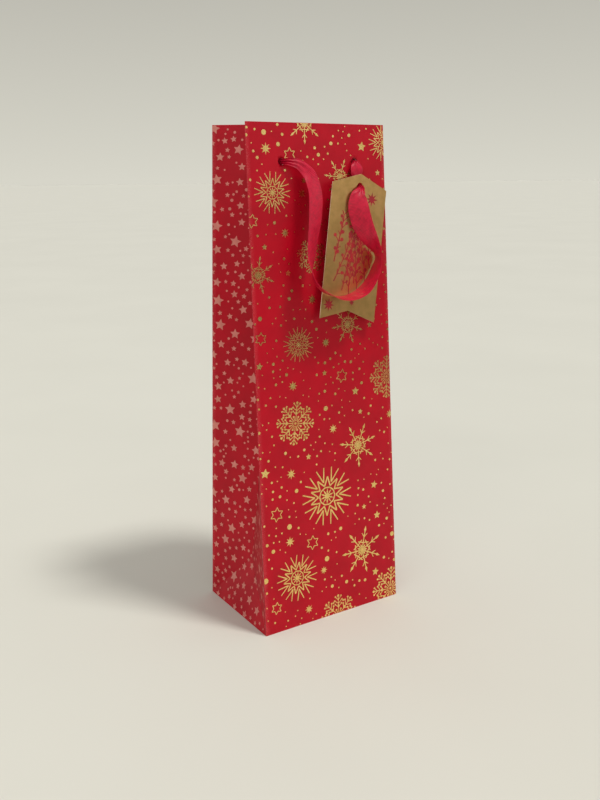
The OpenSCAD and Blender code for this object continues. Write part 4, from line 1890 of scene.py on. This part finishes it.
@dataclass
class RibbonKnot:
    """An overhand knot inside the mouth that stops one end of a ribbon, with its cut tail."""

    form: BagForm
    finishes: Finishes
    wall: Wall
    side: int
    node: str
    knot_diameter: float = 10 * MM
    knot_thickness: float = 6 * MM
    strand: Point2 = (1.7 * MM, 1.25 * MM)
    depth: float = 1.6 * MM
    tail_length: float = 20 * MM
    tail_width: float = 10 * MM

    def place(self, across: float, rise: float, deep: float) -> Vector:
        """A point of the knot.

        Args:
            across: Distance across the panel from the hole.
            rise: Distance up the panel from the hole.
            deep: Distance into the bag from the turned-over paper.

        Returns:
            The point.
        """
        up = self.form.height - self.form.hole_drop + rise
        x = self.side * self.form.hole_spacing / 2 + across
        return self.form.point(self.wall, x, up, -self.depth - deep)

    def tie(self, draft: Draft) -> list[tuple[float, float, float]]:
        """Adds the knot's strand, an overhand knot drawn tight.

        Args:
            draft: The piece so far.

        Returns:
            Where each new point lies on the woven ribbon.
        """
        lies = []
        turns, sides = 96, 12
        reach = (self.knot_diameter / 2 - self.strand[0]) / 3
        lift = self.knot_thickness / 2 - self.strand[1]
        line = [self.place(reach * (math.sin(t) + 2 * math.sin(2 * t)),
                           reach * (math.cos(t) - 2 * math.cos(2 * t)),
                           self.knot_thickness / 2 - lift * math.sin(3 * t))
                for t in (2 * math.pi * i / turns for i in range(turns))]
        deep = self.place(0, 0, 1 * MM) - self.place(0, 0, 0)
        rings = []
        for i, centre in enumerate(line):
            along = (line[(i + 1) % turns] - line[i - 1]).normalized()
            across = along.cross(deep).normalized()
            out = across.cross(along)
            ring = []
            for k in range(sides):
                angle = 2 * math.pi * k / sides
                crush = 1 + 0.12 * math.cos(3 * angle + i * 0.21)
                ring.append(centre + across * math.cos(angle) * self.strand[0] * crush
                            + out * math.sin(angle) * self.strand[1] * crush)
                lies.append((i * 0.4, math.cos(angle) * 5, 0.0))
            rings.append(ring)
        draft.add_tube(rings, closed=True)
        return lies

    def add_tail(self, draft: Draft) -> list[tuple[float, float, float]]:
        """Adds the flat tail below the knot, with its notched end.

        Args:
            draft: The piece so far.

        Returns:
            Where each new point lies on the woven ribbon.
        """
        lies, tail = [], []
        rows, columns = 16, 8
        for i in range(rows + 1):
            share = i / rows
            ring = []
            for face in (1, -1):
                for k in range(columns + 1) if face == 1 else range(columns, -1, -1):
                    spread = k / columns - 0.5
                    notch = 3 * MM * abs(spread) * 2 * share
                    width = self.tail_width * (0.35 + 0.65 * smooth(share * 3))
                    deep_in = self.knot_thickness / 2 + 1.2 * MM * math.sin(3 * share) + face * 0.15 * MM
                    ring.append(self.place(spread * width, -2 * MM - self.tail_length * share - notch,
                                           deep_in + 0.5 * MM * math.cos(9 * spread)))
                    lies.append((share * 20, spread * 10, 0.0))
            tail.append(ring)
        draft.add_tube(tail)
        return lies

    def build(self) -> bpy.types.Object:
        """Builds the knot.

        Returns:
            The knot with its tail.
        """
        draft = Draft()
        lies = [*self.tie(draft), *self.add_tail(draft)]
        piece = draft.make(f"{self.node}_overhand", [self.finishes["crimson_ribbon"]], sharp_deg=60)
        mark_weave(piece, lies)
        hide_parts(self.node)
        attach(piece, "bag")
        log.info("%s: overhand knot with its tail", piece.name)
        return piece


# --- The gift tag ---


@dataclass
class GiftTag:
    """The foil card tag: a pointed top with a hole, a notched foot, and a printed sprig."""

    form: BagForm
    finishes: Finishes
    width: float = 48 * MM
    side: float = 97 * MM
    peak: float = 9 * MM
    notch: float = 7 * MM
    thickness: float = 0.6 * MM
    hole_drop: float = 9 * MM
    hole_diameter: float = 5 * MM
    tilt: float = math.radians(9)
    shift: float = -1.0 * MM
    bow: float = 0.4 * MM

    def place(self, x: float, y: float, lift: float) -> Vector:
        """A point of the hanging tag.

        Args:
            x: Distance across it from the hole.
            y: Distance up it from the hole.
            lift: Distance out of its middle layer.

        Returns:
            The point.
        """
        joint = next(j for j in frame["joints"] if j["name"] == "tag_swing")
        out = Vector(joint["axis"]).normalized()
        across = Vector((1, 0, 0))
        rise = out.cross(across)
        cos, sin = math.cos(-self.tilt), math.sin(-self.tilt)
        bend = self.bow * ((2 * x / self.width) ** 2 - 0.3) * smooth(-y / (60 * MM))
        sideways = across * (self.shift + x * cos - y * sin)
        return Vector(joint["pos_m"]) + sideways + rise * (x * sin + y * cos) + out * (lift + bend)

    def edge(self, x: float) -> Point2:
        """The foot and the head of the tag at a place across it.

        Args:
            x: Distance across it from the hole.

        Returns:
            Their distances up it from the hole.
        """
        share = 1 - abs(x) / (self.width / 2)
        shoulder = self.hole_drop - self.peak
        return shoulder - self.side + self.notch * share, shoulder + self.peak * share

    def build_card(self) -> None:
        """The card, foil on both faces with its pale core showing on the cut edge."""
        columns, rows = 24, 44
        half = self.thickness / 2
        draft = Draft()
        grids = []
        for lift in (half, -half):
            grid = []
            for j in range(rows + 1):
                row = []
                for i in range(columns + 1):
                    x = self.width * (i / columns - 0.5)
                    foot, head = self.edge(x)
                    row.append(self.place(x, foot + (head - foot) * j / rows, lift))
                grid.append(draft.add_points(row))
            grids.append(grid)
        front, back = grids
        for j in range(rows):
            for i in range(columns):
                draft.add_face((front[j][i], front[j][i + 1], front[j + 1][i + 1], front[j + 1][i]), 0)
                draft.add_face((back[j][i], back[j + 1][i], back[j + 1][i + 1], back[j][i + 1]), 0)
        rim = ([(0, i) for i in range(columns)] + [(j, columns) for j in range(rows)]
               + [(rows, i) for i in range(columns, 0, -1)] + [(j, 0) for j in range(rows, 0, -1)])
        for (j, i), (m, k) in zip(rim, rim[1:] + rim[:1]):
            draft.add_face((front[j][i], back[j][i], back[m][k], front[m][k]), 1)
        piece = draft.make("gift_tag_card", [self.finishes["gold_card"], self.finishes["card_edge"]])
        axis = self.place(0, 0, 1 * MM) - self.place(0, 0, 0)
        punch(piece, [self.place(0, 0, 0)], axis, self.hole_diameter, 6 * MM)
        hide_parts("gift_tag")
        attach(piece, "tag")
        log.info("gift_tag_card: %d by %d cells", columns, rows)

    def sprig(self) -> list[list[Point2]]:
        """A spray of berry twigs in the middle of the tag, in millimetres from the hole.

        Returns:
            The outlines of its twigs and berries.
        """
        draw = random.Random(3)
        found = []
        stems = [(-15, -70, 24, -24), (-8, -76, 12, -22), (-1, -78, -2, -24), (6, -76, -12, -30),
                 (13, -70, -20, -36), (-17, -56, 10, -20), (15, -58, -8, -22), (2, -70, 6, -16)]
        for start_x, start_y, lean_x, rise in stems:
            steps = 7
            points = []
            for i in range(steps + 1):
                share = i / steps
                points.append((start_x + lean_x * share * 0.6 + draw.uniform(-0.6, 0.6),
                               start_y + (-rise + 14) * share))
            for a, b in zip(points, points[1:]):
                found.append(stroke(a, b, 0.9, 0.9))
            for i in range(1, steps + 1):
                for side in (-1, 1):
                    reach = draw.uniform(3.0, 6.2)
                    angle = side * draw.uniform(0.35, 0.9) + 0.02 * lean_x
                    end = (points[i][0] + reach * math.sin(angle), points[i][1] + reach * math.cos(angle))
                    found.append(stroke(points[i], end, 0.7, 0.8))
                    if draw.random() < 0.62:
                        found.append(disc(end, draw.uniform(0.95, 1.5), 9))
        return found

    def build_ink(self) -> None:
        """The red sprig and stars on the front of the tag."""
        shapes = self.sprig()
        for x, y, radius in ((11.5, -8, 5.2), (-17.5, -87, 5.0), (2.5, -84, 2.6)):
            shapes.append([(x + a, y + b) for a, b in spiked(radius, 0.42 * radius, 8)])
        draft = Draft()
        for k, shape in enumerate(shapes):
            area = sum(a[0] * b[1] - b[0] * a[1] for a, b in zip(shape, shape[1:] + shape[:1]))
            shape = shape if area > 0 else shape[::-1]
            lift = self.thickness / 2 + 0.03 * MM + k % 8 * 0.004 * MM
            if all(abs(x) < self.width / 2 / MM - 0.6 for x, _ in shape):
                draft.add_prism([self.place(x * MM, y * MM, lift + 0.02 * MM) for x, y in shape],
                                [self.place(x * MM, y * MM, lift) for x, y in shape])
        piece = draft.make("gift_tag_ink", [self.finishes["red_ink"]])
        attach(piece, "tag")
        log.info("gift_tag_ink: %d strokes", len(shapes))


# --- Studio ---


@dataclass
class Studio:
    """The camera, the lights and the floor."""

    eye: tuple[float, float, float] = (-0.3511, -0.5520, 0.3215)
    yaw: float = math.radians(32.41)
    pitch: float = math.radians(-7.87)
    roll: float = -0.0103
    lens: float = 39.77
    shift_y: float = -0.125
    backdrop: Colour = srgb(215, 213, 201)

    def build_camera(self) -> None:
        """The camera, at the height and angle from which the bag is shown."""
        data = bpy.data.cameras.new("camera")
        data.sensor_fit = "VERTICAL"
        data.sensor_height = 36.0
        data.lens = self.lens
        data.shift_y = self.shift_y
        data.clip_start, data.clip_end = 0.01, 200
        camera = bpy.data.objects.new("camera", data)
        ahead = Vector((math.sin(self.yaw) * math.cos(self.pitch), math.cos(self.yaw) * math.cos(self.pitch),
                        math.sin(self.pitch)))
        right = Vector((math.cos(self.yaw), -math.sin(self.yaw), 0))
        above = right.cross(ahead)
        turn = Matrix((right, above, -ahead)).transposed().to_4x4()
        camera.matrix_world = Matrix.Translation(Vector(self.eye)) @ turn @ Matrix.Rotation(self.roll, 4, "Z")
        bpy.context.scene.collection.objects.link(camera)
        bpy.context.scene.camera = camera

    def build_world(self) -> None:
        """A bright studio ceiling, a dark far room at eye level, and a pale backdrop with painted shade that
        darkens it towards the top.
        """
        world = bpy.data.worlds.new("studio")
        bpy.context.scene.world = world
        world.use_nodes = True
        tree = world.node_tree
        tree.nodes.clear()
        bench = NodeBench(tree)
        place = bench.add("ShaderNodeTexCoord")
        split = bench.add("ShaderNodeSeparateXYZ")
        bench.join(place.outputs["Generated"], split.inputs[0])
        ceiling = bench.add("ShaderNodeValToRGB")
        ramp = ceiling.color_ramp
        ramp.elements[0].position, ramp.elements[0].color = 0.0, (0.05, 0.045, 0.035, 1)
        ramp.elements[1].position, ramp.elements[1].color = 1.0, (1.0, 0.99, 0.96, 1)
        for position, level in ((0.07, 0.06), (0.105, 2.2), (0.3, 1.4), (0.5, 0.8)):
            ramp.elements.new(position).color = (level, level * 0.985, level * 0.95, 1)
        bench.join(split.outputs[2], ceiling.inputs[0])
        studio = bench.add("ShaderNodeBackground", {"Strength": 0.57})
        bench.join(ceiling.outputs[0], studio.inputs[0])
        # Painted shade: the backdrop that the camera sees darkens from its pale tone at the horizon to a
        # greyer tone higher up.
        plain = bench.add("ShaderNodeBackground", {"Strength": 1.0})
        painted_shade = bench.remap(split.outputs[2], (0.0, 0.22), (0, 1))
        bench.join(bench.mix_colours(painted_shade, self.backdrop, srgb(186, 184, 174)), plain.inputs[0])
        path = bench.add("ShaderNodeLightPath")
        choose = bench.add("ShaderNodeMixShader")
        bench.join(path.outputs["Is Camera Ray"], choose.inputs[0])
        bench.join(studio.outputs[0], choose.inputs[1])
        bench.join(plain.outputs[0], choose.inputs[2])
        end = bench.add("ShaderNodeOutputWorld")
        bench.join(choose.outputs[0], end.inputs[0])

    def build_lights(self) -> None:
        """A steep key light from the right, and a broad fill from the left."""
        key = bpy.data.lights.new("key", "SUN")
        key.energy = 1.85
        key.angle = math.radians(11)
        key.color = (1.0, 0.985, 0.95)
        self.hang(key, Vector((0.24, -0.38, 0.90)), 3.0)
        fill = bpy.data.lights.new("fill", "AREA")
        fill.energy = 17.5
        fill.size = 2.0
        fill.color = (1.0, 0.98, 0.95)
        self.hang(fill, Vector((-0.75, -0.55, 0.45)), 3.0)

    def hang(self, data: bpy.types.Light, direction: Vector, distance: float) -> None:
        """Hangs a light in a direction from the bag and aims it at the bag's middle.

        Args:
            data: The light.
            direction: Direction from the bag.
            distance: Distance from the bag.
        """
        light = bpy.data.objects.new(data.name, data)
        target = Vector((0, 0, 0.18))
        light.location = target + direction.normalized() * distance
        light.rotation_mode = "QUATERNION"
        light.rotation_quaternion = direction.to_track_quat("Z", "Y")
        bpy.context.scene.collection.objects.link(light)

    def build_floor(self, bindery: Bindery) -> None:
        """A plain pale floor: a near disc, and a far ring that mirrors don't see.

        Args:
            bindery: The shared node groups.
        """
        material, bench, shader = bindery.start("floor_paper")
        grain = bindery.grain(bench, patch_scale=3, grain_scale=900)
        share = bench.remap(grain.outputs["Patches"], (0.3, 0.7), (0, 1))
        tones = bench.mix_colours(share, srgb(208, 207, 197), srgb(205, 204, 194))
        bench.join(tones, shader.inputs["Base Color"])
        shader.inputs["Roughness"].default_value = 0.9
        bump(bench, grain.outputs["Grain"], shader, 0.2, 0.05 * MM)
        for name, near, far in (("floor_near", 0.0, 1.05), ("floor_far", 1.05, 60.0)):
            draft = Draft()
            sides = 96
            rings = [[Vector((r * math.cos(a), r * math.sin(a), 0)) for a in
                      (2 * math.pi * i / sides for i in range(sides))] for r in (max(near, 0.02), far)]
            rows = [draft.add_points(ring) for ring in rings]
            for i in range(sides):
                k = (i + 1) % sides
                draft.add_face((rows[0][i], rows[1][i], rows[1][k], rows[0][k]))
            if near == 0.0:
                draft.add_face(rows[0])
            floor = draft.make(name, [material])
            floor.location.z = -0.02 * MM
            if near > 0:
                floor.visible_glossy = False
            floor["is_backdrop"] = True


def write_sizes() -> None:
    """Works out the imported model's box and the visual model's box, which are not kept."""
    boxes = {"cad": CAD_BOX, "visual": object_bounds()}
    {name: [list(low), list(high)] for name, (low, high) in boxes.items()}


def main() -> None:
    """Builds the camera, the handles, the bag, the tag, the lights and the floor, in that order."""
    logging.basicConfig(level=logging.INFO, format="%(message)s")
    bpy.context.scene.view_settings.view_transform = "Standard"
    form = BagForm.from_frame()
    finishes = Finishes()
    finishes.build()
    studio = Studio()
    studio.build_camera()
    back_loop = [*BACK_HALF_LOOP_ROUTE, *mirrored(BACK_HALF_LOOP_ROUTE)]
    handles = [
        (Wall.FRONT, [*FRONT_LEFT_ROUTE, *FRONT_LOOP_ROUTE, *reversed(FRONT_RIGHT_ROUTE)],
         ("front_left_knot", "front_right_knot")),
        (Wall.BACK, [*BACK_LEG_ROUTE, *back_loop, *mirrored(BACK_LEG_ROUTE)],
         ("back_right_knot", "back_left_knot")),
    ]
    for wall, route, knot_nodes in handles:
        knots = [RibbonKnot(form, finishes, wall, side, node).build()
                 for side, node in zip((-1, 1), knot_nodes)]
        nodes = [f"{wall.value}_{part}" for part in ("left_ribbon_leg", "right_ribbon_leg", "ribbon_loop")]
        RibbonHandle(form, finishes, wall, route, nodes).build(knots)
    paper = PaperBody(form, finishes)
    paper.build_wrap()
    paper.build_hems()
    paper.build_seam()
    paper.dress_cards()
    paper.build_print()
    tag = GiftTag(form, finishes)
    tag.build_card()
    tag.build_ink()
    studio.build_world()
    studio.build_lights()
    studio.build_floor(finishes.bindery)
    write_sizes()


if __name__ == "__main__":
    main()
